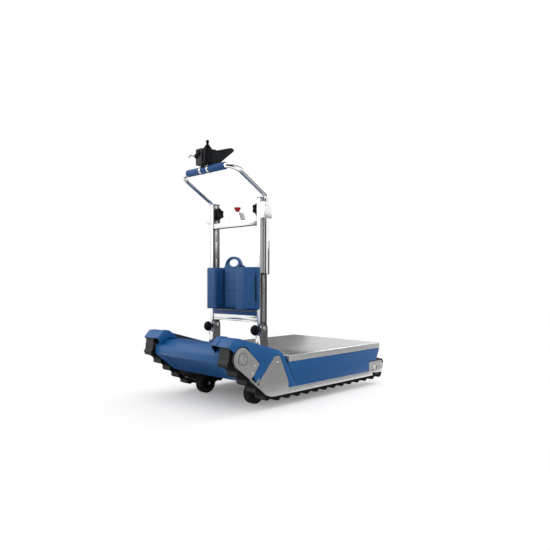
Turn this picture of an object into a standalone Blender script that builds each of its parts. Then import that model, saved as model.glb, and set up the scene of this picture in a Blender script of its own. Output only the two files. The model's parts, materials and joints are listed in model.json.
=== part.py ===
"""Tracked stair climbing trolley, as the assembly that it is built from.

Metres, +Z up, +Y towards the rear deck, +X to the right of someone at the handle.
The origin is on the floor, under the middle of the trolley.
"""

import math

import bmesh
import bpy
from mathutils import Matrix, Vector

for old in list(bpy.data.objects):
    bpy.data.objects.remove(old, do_unlink=True)

# Clearances
GAP = 0.0003            # between faces that touch on the real trolley
RUN_GAP = 0.0015        # beside a part that turns or runs
SHAFT_GAP = 0.0003      # round a shaft or a pin in its hole
SEAM = 0.0015           # open seam between two painted sheets

# Overall
FRAME_WIDTH = 0.633     # over the deck lips and the side skirts
FLOOR_TO_LUGS = 0.031   # the wheels lift the tracks this far off the floor

# Track belts
BELT_WIDTH = 0.066
BELT_THICKNESS = 0.008
LUG_HEIGHT = 0.014
LUG_PITCH = 0.0658
LUG_RISE = 0.018        # length of the gentle face of a lug
LUG_CREST = 0.010
LUG_FALL = 0.005        # length of the steep face

# Rollers in the side view, (Y, Z)
PULLEY_RADIUS = 0.050
PULLEY = Vector((-0.4925, 0.238))
PRESS_RADIUS = 0.022
PRESS = Vector((-0.2825, 0.203))
REAR_RADIUS = 0.041
BEND_RADIUS = 0.108
FRONT_SLOPE = math.radians(37.6)
AXLE_RADIUS = 0.009

# Sheet and plate
SHEET = 0.002
OUTER_PLATE = 0.003
INNER_PLATE = 0.004
BED_HEIGHT = 0.030
ARC_STEPS = 12          # facets of the belt round each roller

# Rear end plates
TENSIONER_REACH = 0.084     # from the rear roller's axis to the plate's front edge
TENSIONER_RADIUS = 0.046
TENSIONER_TOP = 0.035       # above and below the axis
TENSIONER_DROP = 0.023

# Deck and chassis
DECK_TOP = 0.226
DECK_LIP = 0.030
DECK_FRONT = -0.2065
DECK_REAR = 0.5195
TUBE = 0.030            # square tube of the chassis
FOOT_CROSS_HALF = 0.030 # half the width of the cross member under the column

# Front covers and drum
COVER_WIDTH = BELT_WIDTH + 0.017
INNER_COVER_WIDTH = 0.036
DRUM_TOP = 0.293
DRUM_NOSE = 0.060       # ahead of the pulleys' axis
DRUM_NOSE_BEND = 0.042
DRUM_BELLY = 0.112      # below the pulleys' axis
DRUM_FLOOR = 0.082
DRUM_SLOT_X = -0.173
DRUM_SLOT = (0.004, 0.074)
MOTOR_RADIUS = 0.046
MOTOR_LENGTH = 0.150

# Column
UPRIGHT_SPACING = 0.345
UPRIGHT_WIDTH = 0.0225
UPRIGHT_DEPTH = 0.045
UPRIGHT_TOP = 0.952
COLUMN_Y = -0.239
FOLD_Z = 0.343
FOLD_TAIL = 0.030       # length of an upright below its pivot
FOLD_PIN_RADIUS = 0.006
BRACKET_PLATE = 0.004
BRACKET_FLARE = 0.010
BRACKET_SHOULDER = 0.045    # height of the flared foot
WEB_DROP = 0.034            # from the pivot down to the web's top edge
GROOVE_WIDTH = 0.015
GROOVE_DEPTH = 0.003
CROSS_WALL = 0.003
UPPER_CROSS_DROP = 0.099    # from the uprights' tops to its top
UPPER_CROSS_HEIGHT = 0.025
TRAY_BOTTOM = 0.400
SHELF_THICKNESS = 0.0025

# Stop button
STOP_BOX_RISE = 0.045       # above the upper cross member
STOP_TRAVEL = 0.006
STOP_NECK_RADIUS = 0.0085
STOP_NECK_LENGTH = 0.008    # below the housing's top
STOP_HEAD_RADIUS = 0.0155
STOP_HEAD_TOP = 0.026

# Knobs of the column
CLAMP_KNOB_DROP = 0.049     # from the uprights' tops
CLAMP_KNOB_RADIUS = 0.031
CLAMP_KNOB_THICKNESS = 0.022
CLAMP_KNOB_STEM = 0.006
FOLD_KNOB_DROP = 0.008      # below the pivot
FOLD_KNOB_RADIUS = 0.025
FOLD_KNOB_THICKNESS = 0.026
FOLD_KNOB_STEM = 0.014

# Handle
HANDLE_TUBE_RADIUS = 0.0125
HANDLE_OUTBOARD = 0.014     # tube centre from the outer face of an upright
HANDLE_Y = -0.2325
LEG_BOTTOM = 0.598
BEND_RISE = 0.009           # the legs bend this far above the uprights
GRIP_FORWARD = 0.201        # from the legs to the grip
GRIP_RISE = 0.120
GRIP_RADIUS = 0.017
GRIP_LENGTH = 0.275
SLIDE_BAR = 0.0025
CLAMP_DROP = 0.022          # from the uprights' tops
CLAMP_HEIGHT = 0.074

# Controls on the grip
POD_X = 0.029
POD_HALF = 0.025
POD_HEIGHT = 0.078
POD_FRONT = 0.036           # ahead of the grip's axis
WING_REAR = 0.120           # behind the grip's axis
WING_RISE = 0.018           # above the pod's top
BAND_HALF = 0.006
STICK_FORWARD = 0.015       # ahead of the grip's axis
STICK_PIVOT_DEPTH = 0.0028  # below the pod's top
STICK_TOP = 0.034           # above its pivot
STICK_BORE_DEPTH = 0.024
BALL_RADIUS = 0.015
RING_RADIUS = 0.0178
RING_HALF = 0.002
BORE_RADIUS = 0.019
BOX_X = -0.0285
BOX_HALF = 0.031
BOX_HEIGHT = 0.078
BOX_FRONT = 0.032           # ahead of the grip's axis
LEVER_X = -0.030
LEVER_RISE = 0.062          # above the grip's axis
LEVER_HUB_RADIUS = 0.011
LEVER_HUB_LENGTH = 0.008
LEVER_WIRE_RADIUS = 0.0018

# Battery
BATTERY_WIDTH = 0.362
BATTERY_BOTTOM = 0.429
BATTERY_HEIGHT = 0.196
BATTERY_DEPTH = 0.058
BATTERY_WING = 0.016        # thickness of its two edges
BATTERY_VALLEY = 0.012      # and of its middle
BATTERY_GRIP_RISE = 0.050
BATTERY_GRIP_HALF = 0.058
BATTERY_GRIP_THICKNESS = 0.014

# Wheels
WHEEL_RADIUS = 0.050
WHEEL_WIDTH = 0.040
WHEEL_X = 0.177
WHEEL_Y = -0.2965
WHEEL_AXLE_RADIUS = 0.008
WHEEL_PIVOT = Vector((-0.2215, 0.079))
LIFT_SHAFT_RADIUS = 0.010
ARM_WIDTH = 0.026
ARM_THICKNESS = 0.008
HUB_RADIUS = 0.026

CASTOR_RADIUS = 0.040
CASTOR_WIDTH = 0.028
CASTOR_X = 0.165
CASTOR_Y = 0.3935
CASTOR_TRAIL = 0.024
CASTOR_AXLE_RADIUS = 0.005
CASTOR_STEM_RADIUS = 0.008
CASTOR_PIVOT = Vector((0.3035, 0.114))
FORK_TOP = 0.096
FORK_PLATE = 0.003
CASTOR_BEAM_HEIGHT = 0.024
CASTOR_BEAM_HALF = 0.020
CASTOR_ARM_INSET = 0.045    # from the castor's axis towards the middle
CASTOR_ARM_HALF = 0.006

# Stations across the trolley, on its right-hand side
SKIN_X = FRAME_WIDTH / 2
PLATE_IN_X = SKIN_X - OUTER_PLATE
BELT_OUT_X = PLATE_IN_X - RUN_GAP
BELT_IN_X = BELT_OUT_X - BELT_WIDTH
INNER_OUT_X = BELT_IN_X - RUN_GAP
INNER_IN_X = INNER_OUT_X - INNER_PLATE
UPRIGHT_X = UPRIGHT_SPACING / 2
UPRIGHT_OUT_X = UPRIGHT_X + UPRIGHT_WIDTH / 2
UPRIGHT_IN_X = UPRIGHT_X - UPRIGHT_WIDTH / 2
HANDLE_X = UPRIGHT_OUT_X + HANDLE_OUTBOARD
REAR_Y = DECK_REAR - 0.0142
CROSS_HALF = UPRIGHT_IN_X - GAP
SIDES = ((1, "r"), (-1, "l"))

# Heights and stations that follow
LOOP_OUT = BELT_THICKNESS + LUG_HEIGHT
TIP_RADIUS = PULLEY_RADIUS + LOOP_OUT
BED_Z = FLOOR_TO_LUGS + LOOP_OUT
REAR = Vector((REAR_Y, BED_Z + REAR_RADIUS))
CHASSIS_TOP = DECK_TOP - SHEET - GAP
CHASSIS_BOTTOM = CHASSIS_TOP - TUBE
SKIRT_TOP = DECK_TOP - DECK_LIP - GAP
COLUMN_FRONT = COLUMN_Y - UPRIGHT_DEPTH / 2
CROSS_STATIONS = (-0.370, COLUMN_Y, -0.020, 0.230, DECK_REAR - 0.0295)  # cross members of the chassis
UPPER_CROSS_TOP = UPRIGHT_TOP - UPPER_CROSS_DROP
UPPER_CROSS_BOTTOM = UPPER_CROSS_TOP - UPPER_CROSS_HEIGHT
STOP_BOX_TOP = UPPER_CROSS_TOP + STOP_BOX_RISE
CLAMP_TOP = UPRIGHT_TOP - CLAMP_DROP
CLAMP_BOTTOM = CLAMP_TOP - CLAMP_HEIGHT
CLAMP_KNOB_Z = UPRIGHT_TOP - CLAMP_KNOB_DROP
LEG_BEND_Z = UPRIGHT_TOP + BEND_RISE
GRIP_Y = HANDLE_Y - GRIP_FORWARD
GRIP_Z = LEG_BEND_Z + GRIP_RISE
LOWER_CROSS_BOTTOM = FOLD_Z + UPRIGHT_DEPTH / 2 + 0.004
TENSIONER_FRONT = REAR_Y - TENSIONER_REACH
CASTOR_BEAM_BOTTOM = FORK_TOP + GAP
POD_BASE = GRIP_Z + GRIP_RADIUS + 0.0008
POD_TOP = POD_BASE + POD_HEIGHT
STICK_Y = GRIP_Y - STICK_FORWARD
STICK_PIVOT_Z = POD_TOP - STICK_PIVOT_DEPTH
BOX_BASE = GRIP_Z + GRIP_RADIUS + 0.003
LEVER_Z = GRIP_Z + LEVER_RISE

# Top line of the front covers, from the nose over the pulley and down to the deck
COVER_LINE = [
    PULLEY + Vector((0.003 - TIP_RADIUS, 0.054)),
    PULLEY + Vector((-0.046, TIP_RADIUS + 0.011)),
    PULLEY + Vector((0.012, TIP_RADIUS + 0.006)),
    PULLEY + Vector((0.077, TIP_RADIUS - 0.012)),
    PRESS + Vector((0.008, 0.052)),
    PRESS + Vector((0.034, 0.033)),
    PRESS + Vector((0.044, 0.016)),
    Vector((DECK_FRONT - SEAM - 0.004, DECK_TOP - DECK_LIP)) + Vector((0.0, -0.016)),
    Vector((DECK_FRONT + 0.050, BED_Z + BED_HEIGHT)),
]
PULLEY_PLATE_CORNERS = [
    PULLEY + Vector((0.1006, -0.0304)),
    PULLEY + Vector((0.0676, -0.0764)),
    PULLEY + Vector((0.0466, -0.0944)),
]
PULLEY_PLATE_RADIUS = 0.049
BEND_PLATE_APEX = PRESS + Vector((0.002, 0.030))

PARTS = bpy.data.collections.new("stair_climbing_trolley")
CUTTERS = bpy.data.collections.new("cutters")
for group in (PARTS, CUTTERS):
    bpy.context.scene.collection.children.link(group)

# Finishes: colour, roughness, metallic
FINISHES = {
    "blue_paint": ((0.035, 0.105, 0.290, 1.0), 0.42, 0.0),
    "zinc_steel": ((0.420, 0.425, 0.430, 1.0), 0.38, 0.9),
    "aluminium": ((0.620, 0.625, 0.630, 1.0), 0.32, 0.9),
    "chrome": ((0.780, 0.790, 0.800, 1.0), 0.08, 1.0),
    "rubber": ((0.018, 0.019, 0.021, 1.0), 0.75, 0.0),
    "black_plastic": ((0.012, 0.013, 0.015, 1.0), 0.45, 0.0),
    "grey_plastic": ((0.045, 0.048, 0.052, 1.0), 0.50, 0.0),
    "red_plastic": ((0.480, 0.015, 0.020, 1.0), 0.35, 0.0),
}


def finished(obj, finish):
    """Gives a part its own Principled material, and smooth shading with sharp creases."""
    colour, roughness, metallic = FINISHES[finish]
    made = bpy.data.materials.new(f"{obj.name}_{finish}")
    made.use_nodes = True
    shader = made.node_tree.nodes["Principled BSDF"]
    shader.inputs["Base Color"].default_value = colour
    shader.inputs["Roughness"].default_value = roughness
    shader.inputs["Metallic"].default_value = metallic
    obj.data.materials.clear()
    obj.data.materials.append(made)
    obj.data.shade_smooth()
    obj.data.set_sharp_from_angle(angle=math.radians(35))
    return obj


def mesh_object(name, mesh, place=None):
    obj = bpy.data.objects.new(name, mesh)
    PARTS.objects.link(obj)
    obj.matrix_world = place or Matrix()
    return obj


def box(name, low, high, bevel=0.0):
    """A block between two corners, with its edges rounded by bevel."""
    low, high = Vector(low), Vector(high)
    size = high - low
    form = bmesh.new()
    bmesh.ops.create_cube(form, size=1.0)
    bmesh.ops.scale(form, vec=size, verts=form.verts)
    mesh = bpy.data.meshes.new(name)
    form.to_mesh(mesh)
    form.free()
    obj = mesh_object(name, mesh, Matrix.Translation((low + high) / 2))
    if bevel:
        edge = obj.modifiers.new("edges", "BEVEL")
        edge.width = bevel
        edge.segments = 2
    return obj


def sided(side, near, far):
    """X limits of a piece on the right (side 1) or the left (side -1)."""
    return sorted((side * near, side * far))


# The plane of an outline, and the axis that it is extruded along
SIDE = Matrix(((0, 0, 1, 0), (1, 0, 0, 0), (0, 1, 0, 0), (0, 0, 0, 1)))     # outline (Y, Z)
FRONT = Matrix(((1, 0, 0, 0), (0, 0, -1, 0), (0, 1, 0, 0), (0, 0, 0, 1)))   # outline (X, Z)
TOP = Matrix()                                                              # outline (X, Y)
NORMAL = {"side": Vector((1, 0, 0)), "front": Vector((0, 1, 0)), "top": Vector((0, 0, 1))}
PLANE = {"side": SIDE, "front": FRONT, "top": TOP}


def mesh_of_curve(obj):
    """Turns a curve object into a mesh object of the same name, with its caps welded on."""
    bpy.context.view_layer.update()
    evaluated = obj.evaluated_get(bpy.context.evaluated_depsgraph_get())
    mesh = bpy.data.meshes.new_from_object(evaluated)
    form = bmesh.new()
    form.from_mesh(mesh)
    bmesh.ops.remove_doubles(form, verts=form.verts, dist=1e-5)
    bmesh.ops.dissolve_limit(form, angle_limit=1e-4, verts=form.verts, edges=form.edges)
    bmesh.ops.recalc_face_normals(form, faces=form.faces)
    form.to_mesh(mesh)
    form.free()
    name, place = obj.name, obj.matrix_world.copy()
    bpy.data.objects.remove(obj, do_unlink=True)
    mesh.name = name
    return mesh_object(name, mesh, place)


def plate(name, outlines, plane, low, high):
    """A flat outline, with any holes as further outlines, extruded from low to high along its normal."""
    curve = bpy.data.curves.new(name, "CURVE")
    curve.dimensions = "2D"
    curve.fill_mode = "BOTH"
    curve.extrude = (high - low) / 2
    for outline in outlines:
        spline = curve.splines.new("POLY")
        spline.points.add(len(outline) - 1)
        for point, corner in zip(spline.points, outline):
            point.co = (corner[0], corner[1], 0, 1)
        spline.use_cyclic_u = True
    obj = bpy.data.objects.new(name, curve)
    PARTS.objects.link(obj)
    obj.matrix_world = Matrix.Translation(NORMAL[plane] * (low + high) / 2) @ PLANE[plane]
    return mesh_of_curve(obj)


def swept(name, route, radius, resolution=3):
    """A round bar or tube along a route of points."""
    curve = bpy.data.curves.new(name, "CURVE")
    curve.dimensions = "3D"
    curve.bevel_depth = radius
    curve.bevel_resolution = resolution
    curve.use_fill_caps = True
    spline = curve.splines.new("POLY")
    spline.points.add(len(route) - 1)
    for point, place in zip(spline.points, route):
        point.co = (*place, 1)
    obj = bpy.data.objects.new(name, curve)
    PARTS.objects.link(obj)
    return mesh_of_curve(obj)


# Turned pieces: the way that their own +Z points
AXIS = {
    "x": Matrix.Rotation(math.pi / 2, 4, "Y"),
    "-x": Matrix.Rotation(-math.pi / 2, 4, "Y"),
    "-y": Matrix.Rotation(math.pi / 2, 4, "X"),
    "z": Matrix(),
}


def turned(name, profile, axis, centre, steps=20):
    """A profile of (radius, height) turned about its axis, from its top down the outer side.

    A profile that leaves the axis free, as round a bore, is closed by its last edge.
    """
    mesh = bpy.data.meshes.new(name)
    count = len(profile)
    edges = [(i, i + 1) for i in range(count - 1)]
    if profile[0][0] > 0:
        edges.append((count - 1, 0))
    mesh.from_pydata([(radius, 0, height) for radius, height in profile], edges, [])
    obj = mesh_object(name, mesh, Matrix.Translation(centre) @ AXIS[axis])
    turn = obj.modifiers.new("turn", "SCREW")
    turn.steps = turn.render_steps = steps
    turn.use_merge_vertices = True
    turn.merge_threshold = 1e-5
    turn.use_smooth_shade = True
    return obj


def rod(name, radius, axis, centre, low, high, steps=16):
    return turned(name, [(0, high), (radius, high), (radius, low), (0, low)], axis, centre, steps)


def bore(name, radius, axis, centre, low, high, steps=16):
    """A cutter for a round hole, whose flats clear the radius."""
    return rod(name, radius / math.cos(math.pi / steps), axis, centre, low, high, steps)


def boolean(obj, other, operation, solver="EXACT"):
    """Joins another object to this one, or cuts it away, and puts it out of sight."""
    step = obj.modifiers.new(f"{operation.lower()}_{other.name}", "BOOLEAN")
    step.operation = operation
    step.object = other
    step.solver = solver
    if other.name in PARTS.objects:
        PARTS.objects.unlink(other)
        CUTTERS.objects.link(other)
    other.hide_render = True
    other.display_type = "WIRE"
    return obj


def cut(obj, other, solver="EXACT"):
    return boolean(obj, other, "DIFFERENCE", solver)


def fuse(obj, other):
    return boolean(obj, other, "UNION")


def origin_at(obj, point):
    """Moves a mesh object's origin, such as onto its joint's axis, and leaves its shape where it is."""
    point = Vector(point)
    offset = obj.matrix_world.inverted() @ point
    obj.data.transform(Matrix.Translation(-offset))
    obj.matrix_world.translation = point
    return obj


def carried(name, point, pieces):
    """An empty on a joint's axis that carries the pieces which move together."""
    empty = bpy.data.objects.new(name, None)
    PARTS.objects.link(empty)
    empty.location = point
    for piece in pieces:
        piece.parent = empty
        piece.matrix_parent_inverse = Matrix.Translation(point).inverted()
    return empty


def arc(centre, radius, start, end, steps):
    """Points on a circle from one angle to another, in degrees."""
    angles = [math.radians(start + (end - start) * i / steps) for i in range(steps + 1)]
    return [Vector(centre) + radius * Vector((math.cos(a), math.sin(a))) for a in angles]


def rounded(points, radius, steps=4, closed=True):
    """A chain of points with each corner turned into an arc. radius is a number, or one for each corner."""
    points = [Vector(point) for point in points]
    count = len(points)
    radii = [radius] * count if isinstance(radius, (int, float)) else list(radius)
    made = []
    for i, (corner, bend) in enumerate(zip(points, radii)):
        if not bend or (not closed and i in (0, count - 1)):
            made.append(corner)
            continue
        back = (points[i - 1] - corner).normalized()
        ahead = (points[(i + 1) % count] - corner).normalized()
        half = back.angle(ahead) / 2
        middle = (back + ahead).normalized()
        centre = corner + middle * bend / math.sin(half)
        first = corner + back * bend / math.tan(half) - centre
        last = corner + ahead * bend / math.tan(half) - centre
        whole = first.angle(last)
        for step in range(steps + 1):
            share = step / steps
            near, far = math.sin((1 - share) * whole), math.sin(share * whole)
            made.append(centre + (first * near + last * far) / math.sin(whole))
    return made


def offset_chain(points, distance):
    """An open chain in the plane, moved to its right by distance, with its corners kept."""
    points = [Vector(point) for point in points]
    moved = []
    for i, point in enumerate(points):
        before = (point - points[i - 1]).normalized() if i else None
        after = (points[i + 1] - point).normalized() if i < len(points) - 1 else None
        one = Vector(((before or after).y, -(before or after).x))
        two = Vector(((after or before).y, -(after or before).x))
        moved.append(point + (one + two) * distance / (1 + one.dot(two)))
    return moved


def belt_turns():
    """The rollers that the belt goes round, as (centre, radius), in order from the rear over the top.

    A radius is negative where the belt bends the other way round its roller, under the press roller.
    The bend at the bottom front lies where the belt's front run has its slope.
    """
    rise = BED_Z + BEND_RADIUS - PULLEY.y
    run = (BEND_RADIUS - PULLEY_RADIUS - rise * math.cos(FRONT_SLOPE)) / math.sin(FRONT_SLOPE)
    bend = Vector((PULLEY.x + run, BED_Z + BEND_RADIUS))
    return [
        (REAR, REAR_RADIUS),
        (PRESS, -(PRESS_RADIUS + LOOP_OUT)),
        (PULLEY, PULLEY_RADIUS),
        (bend, BEND_RADIUS),
    ]


TURNS = belt_turns()
BEND = TURNS[3][0]


def travel_angle(first, second):
    """The direction, in radians, of the straight run of belt between two rollers."""
    (start, start_radius), (end, end_radius) = first, second
    way = end - start
    return math.atan2(way.y, way.x) + math.asin((start_radius - end_radius) / way.length)


def belt_path():
    """The belt's inner line as pieces of (length, place).

    place turns a distance along its piece into a point and the outward normal there.
    """
    angles = [travel_angle(TURNS[i], TURNS[(i + 1) % 4]) for i in range(4)]
    pieces = []

    def on_roller(centre, radius, angle):
        outward = Vector((math.sin(angle), -math.cos(angle)))
        return centre + outward * radius, outward

    for i, (centre, radius) in enumerate(TURNS):
        arrive, leave = angles[i - 1], angles[i]
        turn = (leave - arrive) % (2 * math.pi) if radius > 0 else -((arrive - leave) % (2 * math.pi))
        length = turn * radius

        def round_arc(s, centre=centre, radius=radius, arrive=arrive, turn=turn, length=length):
            return on_roller(centre, radius, arrive + turn * s / length)

        pieces.append((length, round_arc))
        start, outward = on_roller(centre, radius, leave)
        after = TURNS[(i + 1) % 4]
        end, _ = on_roller(after[0], after[1], leave)

        def along_run(s, start=start, end=end, outward=outward):
            return start + (end - start).normalized() * s, outward

        pieces.append(((end - start).length, along_run))
    return pieces


def point_on(path, distance):
    total = sum(length for length, _ in path)
    distance %= total
    for length, place in path:
        if distance <= length:
            return place(distance)
        distance -= length
    return path[0][1](0)


def belt_outlines():
    """The outer line, with a saw-toothed lug at each pitch, and the inner line."""
    path = belt_path()
    total = sum(length for length, _ in path)
    count = round(total / LUG_PITCH)
    pitch = total / count
    lug = [(0, 0), (LUG_RISE, LUG_HEIGHT), (LUG_RISE + LUG_CREST, LUG_HEIGHT),
           (LUG_RISE + LUG_CREST + LUG_FALL, 0)]
    bare = pitch - lug[-1][0]
    section = lug + [(lug[-1][0] + bare * share, 0) for share in (1 / 3, 2 / 3)]
    outer = []
    for i in range(count):
        for ahead, height in section:
            point, outward = point_on(path, i * pitch + ahead)
            outer.append(point + outward * (BELT_THICKNESS + height))
    inner = []
    for index, (length, place) in enumerate(path):
        if index % 2:
            continue
        radius = TURNS[index // 2][1]
        half_step = length / abs(radius) / ARC_STEPS / 2
        clear = radius * (1 / math.cos(half_step) - 1) if radius > 0 else 0
        for step in range(ARC_STEPS + 1):
            point, outward = place(length * step / ARC_STEPS)
            inner.append(point + outward * clear)
    return outer, inner


def bend_end(radius):
    """A point at the top of the bend, where the sloping front run begins, at this distance from its centre."""
    outward = Vector((-math.sin(FRONT_SLOPE), -math.cos(FRONT_SLOPE)))
    return BEND + outward * radius


def holed(obj, side, centre, radius, name):
    """Drills a plate of the track frame along X."""
    place = (side * (SKIN_X + INNER_IN_X) / 2, centre[0], centre[1])
    return cut(obj, bore(name, radius, "x", place, -FRAME_WIDTH / 4, FRAME_WIDTH / 4))


def make_belt(side, tag):
    low, high = sided(side, BELT_IN_X, BELT_OUT_X)
    return finished(plate(f"track_belt_{tag}", belt_outlines(), "side", low, high), "rubber")


def make_roller(name, side, centre, radius, steps):
    """A roller in the belt's loop, in one piece with its axle, which runs in the plates at both sides."""
    middle = (INNER_OUT_X + PLATE_IN_X) / 2
    half = (PLATE_IN_X - INNER_OUT_X) / 2 - RUN_GAP
    out, back = SKIN_X - middle, INNER_IN_X - middle
    profile = [(0, out), (AXLE_RADIUS, out), (AXLE_RADIUS, half), (radius, half),
               (radius, -half), (AXLE_RADIUS, -half), (AXLE_RADIUS, back), (0, back)]
    roller = turned(name, profile, "x" if side > 0 else "-x", (side * middle, centre[0], centre[1]), steps)
    return finished(roller, "zinc_steel")


def pulley_plate_outline(grow):
    """Round about the pulley, with its tail between the slope of the belt and the cover."""
    corners = [corner + Vector((grow, grow * 0.3)) for corner in PULLEY_PLATE_CORNERS]
    ring = arc(PULLEY, PULLEY_PLATE_RADIUS + grow, 52, 232, 14)
    return ring + rounded([ring[-1], *reversed(corners), ring[0]], 0.006, 2)[3:-3]


def bend_plate_outline(grow):
    """A triangle with a round top at the press roller's axle, whose foot follows the belt's bend."""
    foot_radius = BEND_RADIUS + grow
    slope = Vector((-math.cos(FRONT_SLOPE), math.sin(FRONT_SLOPE)))
    heel = bend_end(foot_radius) + slope * 0.040
    shoulder = heel + Vector((0.0, 0.028))
    top = [BEND_PLATE_APEX + Vector((-0.030 - grow, grow)), BEND_PLATE_APEX + Vector((0.022 + grow, grow))]
    side = Vector((BEND.x + 0.087 + grow, BED_Z + 0.060))
    toe = Vector((BEND.x + 0.082 + grow, BED_Z - grow))
    upper = rounded([shoulder, *top, side], [0.006, 0.030, 0.014, 0.010], 3)
    foot = [BEND + Vector((math.sin(a), -math.cos(a))) * foot_radius
            for a in (-FRONT_SLOPE * (4 - i) / 4 for i in range(5))]
    return [*foot, toe, *reversed(upper), heel]


def make_pulley_plate(side, tag):
    low, high = sided(side, PLATE_IN_X, SKIN_X)
    made = plate(f"pulley_plate_{tag}", [pulley_plate_outline(0)], "side", low, high)
    holed(made, side, PULLEY, AXLE_RADIUS + SHAFT_GAP, f"hole_pulley_plate_{tag}")
    return finished(made, "zinc_steel")


def make_bend_plate(side, tag):
    low, high = sided(side, PLATE_IN_X, SKIN_X)
    made = plate(f"bend_plate_{tag}", [bend_plate_outline(0)], "side", low, high)
    holed(made, side, PRESS, AXLE_RADIUS + SHAFT_GAP, f"hole_bend_plate_{tag}")
    return finished(made, "zinc_steel")


def make_tensioner_plate(side, tag):
    """The rear roller's end plate, with the block and the nut that draw the roller back."""
    low, high = sided(side, PLATE_IN_X, SKIN_X)
    top, bottom = REAR.y + TENSIONER_TOP, REAR.y - TENSIONER_DROP
    front = [(TENSIONER_FRONT, top), (TENSIONER_FRONT, bottom)]
    ring = arc(REAR, TENSIONER_RADIUS, -40, 50, 10)
    outline = [*rounded([ring[-1], *front, ring[0]], [0, 0.005, 0.005, 0], 2), *ring[1:-1]]
    made = plate(f"tensioner_plate_{tag}", [outline], "side", low, high)
    slot_low, slot_high = sided(side, PLATE_IN_X - OUTER_PLATE, SKIN_X + OUTER_PLATE)
    slot = rounded([(TENSIONER_FRONT + 0.022, REAR.y - 0.008), (REAR_Y - 0.014, REAR.y - 0.008),
                    (REAR_Y - 0.014, REAR.y + 0.010), (TENSIONER_FRONT + 0.022, REAR.y + 0.010)], 0.004, 2)
    cut(made, plate(f"slot_tensioner_{tag}", [slot], "side", slot_low, slot_high))
    block_low, block_high = sided(side, PLATE_IN_X + 0.0005, SKIN_X - 0.0005)
    middle = TENSIONER_FRONT + 0.048
    fuse(made, box(f"block_tensioner_{tag}", (block_low, middle - 0.009, REAR.y - 0.009),
                   (block_high, middle + 0.009, REAR.y + 0.011)))
    holed(made, side, REAR, AXLE_RADIUS + SHAFT_GAP, f"hole_tensioner_plate_{tag}")
    return finished(made, "zinc_steel")


def make_bed(side, tag):
    """The beam in the loop that the belt slides on, with a curved shoe at the bend."""
    low, high = sided(side, INNER_OUT_X + GAP, PLATE_IN_X - GAP)
    radius = BEND_RADIUS - GAP
    shoe = [BEND + Vector((math.sin(a), -math.cos(a))) * radius
            for a in (-FRONT_SLOPE * (6 - i) / 6 for i in range(7))]
    top = BED_Z + BED_HEIGHT
    end = REAR_Y - REAR_RADIUS - 0.010
    outline = [*shoe, (end, BED_Z + GAP), (end, top), (BEND.x, top), bend_end(radius - 0.040)]
    return finished(plate(f"track_rail_{tag}", [outline], "side", low, high), "aluminium")


def make_inner_plate(side, tag):
    """The frame plate inside each track, which carries the rollers, the deck and the shafts."""
    low, high = sided(side, INNER_IN_X, INNER_OUT_X)
    cover = offset_chain(COVER_LINE, SHEET + GAP)
    slope = Vector((-math.sin(FRONT_SLOPE), -math.cos(FRONT_SLOPE)))
    nose = arc(PULLEY, PULLEY_RADIUS + 0.004, 128, 232, 8)
    floor_line = BED_Z + 0.002
    rear = arc(REAR, REAR_RADIUS - 0.002, -90, 60, 8)
    outline = [
        *cover[1:6], (DECK_FRONT - 0.003, CHASSIS_TOP),
        (DECK_REAR - SHEET - GAP, CHASSIS_TOP), (DECK_REAR - SHEET - GAP, DECK_TOP - DECK_LIP - 0.004),
        *reversed(rear),
        (BEND.x, floor_line), bend_end(BEND_RADIUS - 0.002), PULLEY + slope * (PULLEY_RADIUS - 0.002),
        *reversed(nose),
    ]
    outline = [Vector(point) for point in outline]
    made = plate(f"inner_plate_{tag}", [outline], "side", low, high)
    for name, centre, radius in (("pulley", PULLEY, AXLE_RADIUS), ("press", PRESS, AXLE_RADIUS),
                                 ("rear", REAR, AXLE_RADIUS), ("wheel", WHEEL_PIVOT, LIFT_SHAFT_RADIUS),
                                 ("castor", CASTOR_PIVOT, LIFT_SHAFT_RADIUS)):
        holed(made, side, centre, radius + SHAFT_GAP, f"hole_{name}_inner_plate_{tag}")
    return finished(made, "zinc_steel")


def make_skirt(side, tag):
    """The painted panel under the deck's lip, with a flange over the belt to the frame plate."""
    low, high = sided(side, SKIN_X - SHEET, SKIN_X)
    rail_top = BED_Z + BED_HEIGHT - 0.004
    top_front, low_front = COVER_LINE[-2], COVER_LINE[-1]
    slope = (low_front - top_front) / (low_front.y - top_front.y)
    clear = SEAM * 2
    notch = TENSIONER_FRONT - clear
    shoulder = REAR.y + TENSIONER_TOP + clear
    outline = [
        top_front + slope * (SKIRT_TOP - top_front.y) + Vector((clear, 0)),
        top_front + slope * (rail_top - top_front.y) + Vector((clear, 0)),
        (notch, rail_top), (notch, shoulder), (REAR_Y - 0.019, shoulder),
        (DECK_REAR - 0.002, SKIRT_TOP),
    ]
    made = plate(f"side_skirt_{tag}", [outline], "side", low, high)
    flange_low, flange_high = sided(side, INNER_OUT_X + GAP, SKIN_X - SHEET / 2)
    fuse(made, box(f"flange_skirt_{tag}", (flange_low, DECK_FRONT + 0.020, SKIRT_TOP - SHEET),
                   (flange_high, DECK_REAR - 0.012, SKIRT_TOP - GAP)))
    return finished(made, "blue_paint")


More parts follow.
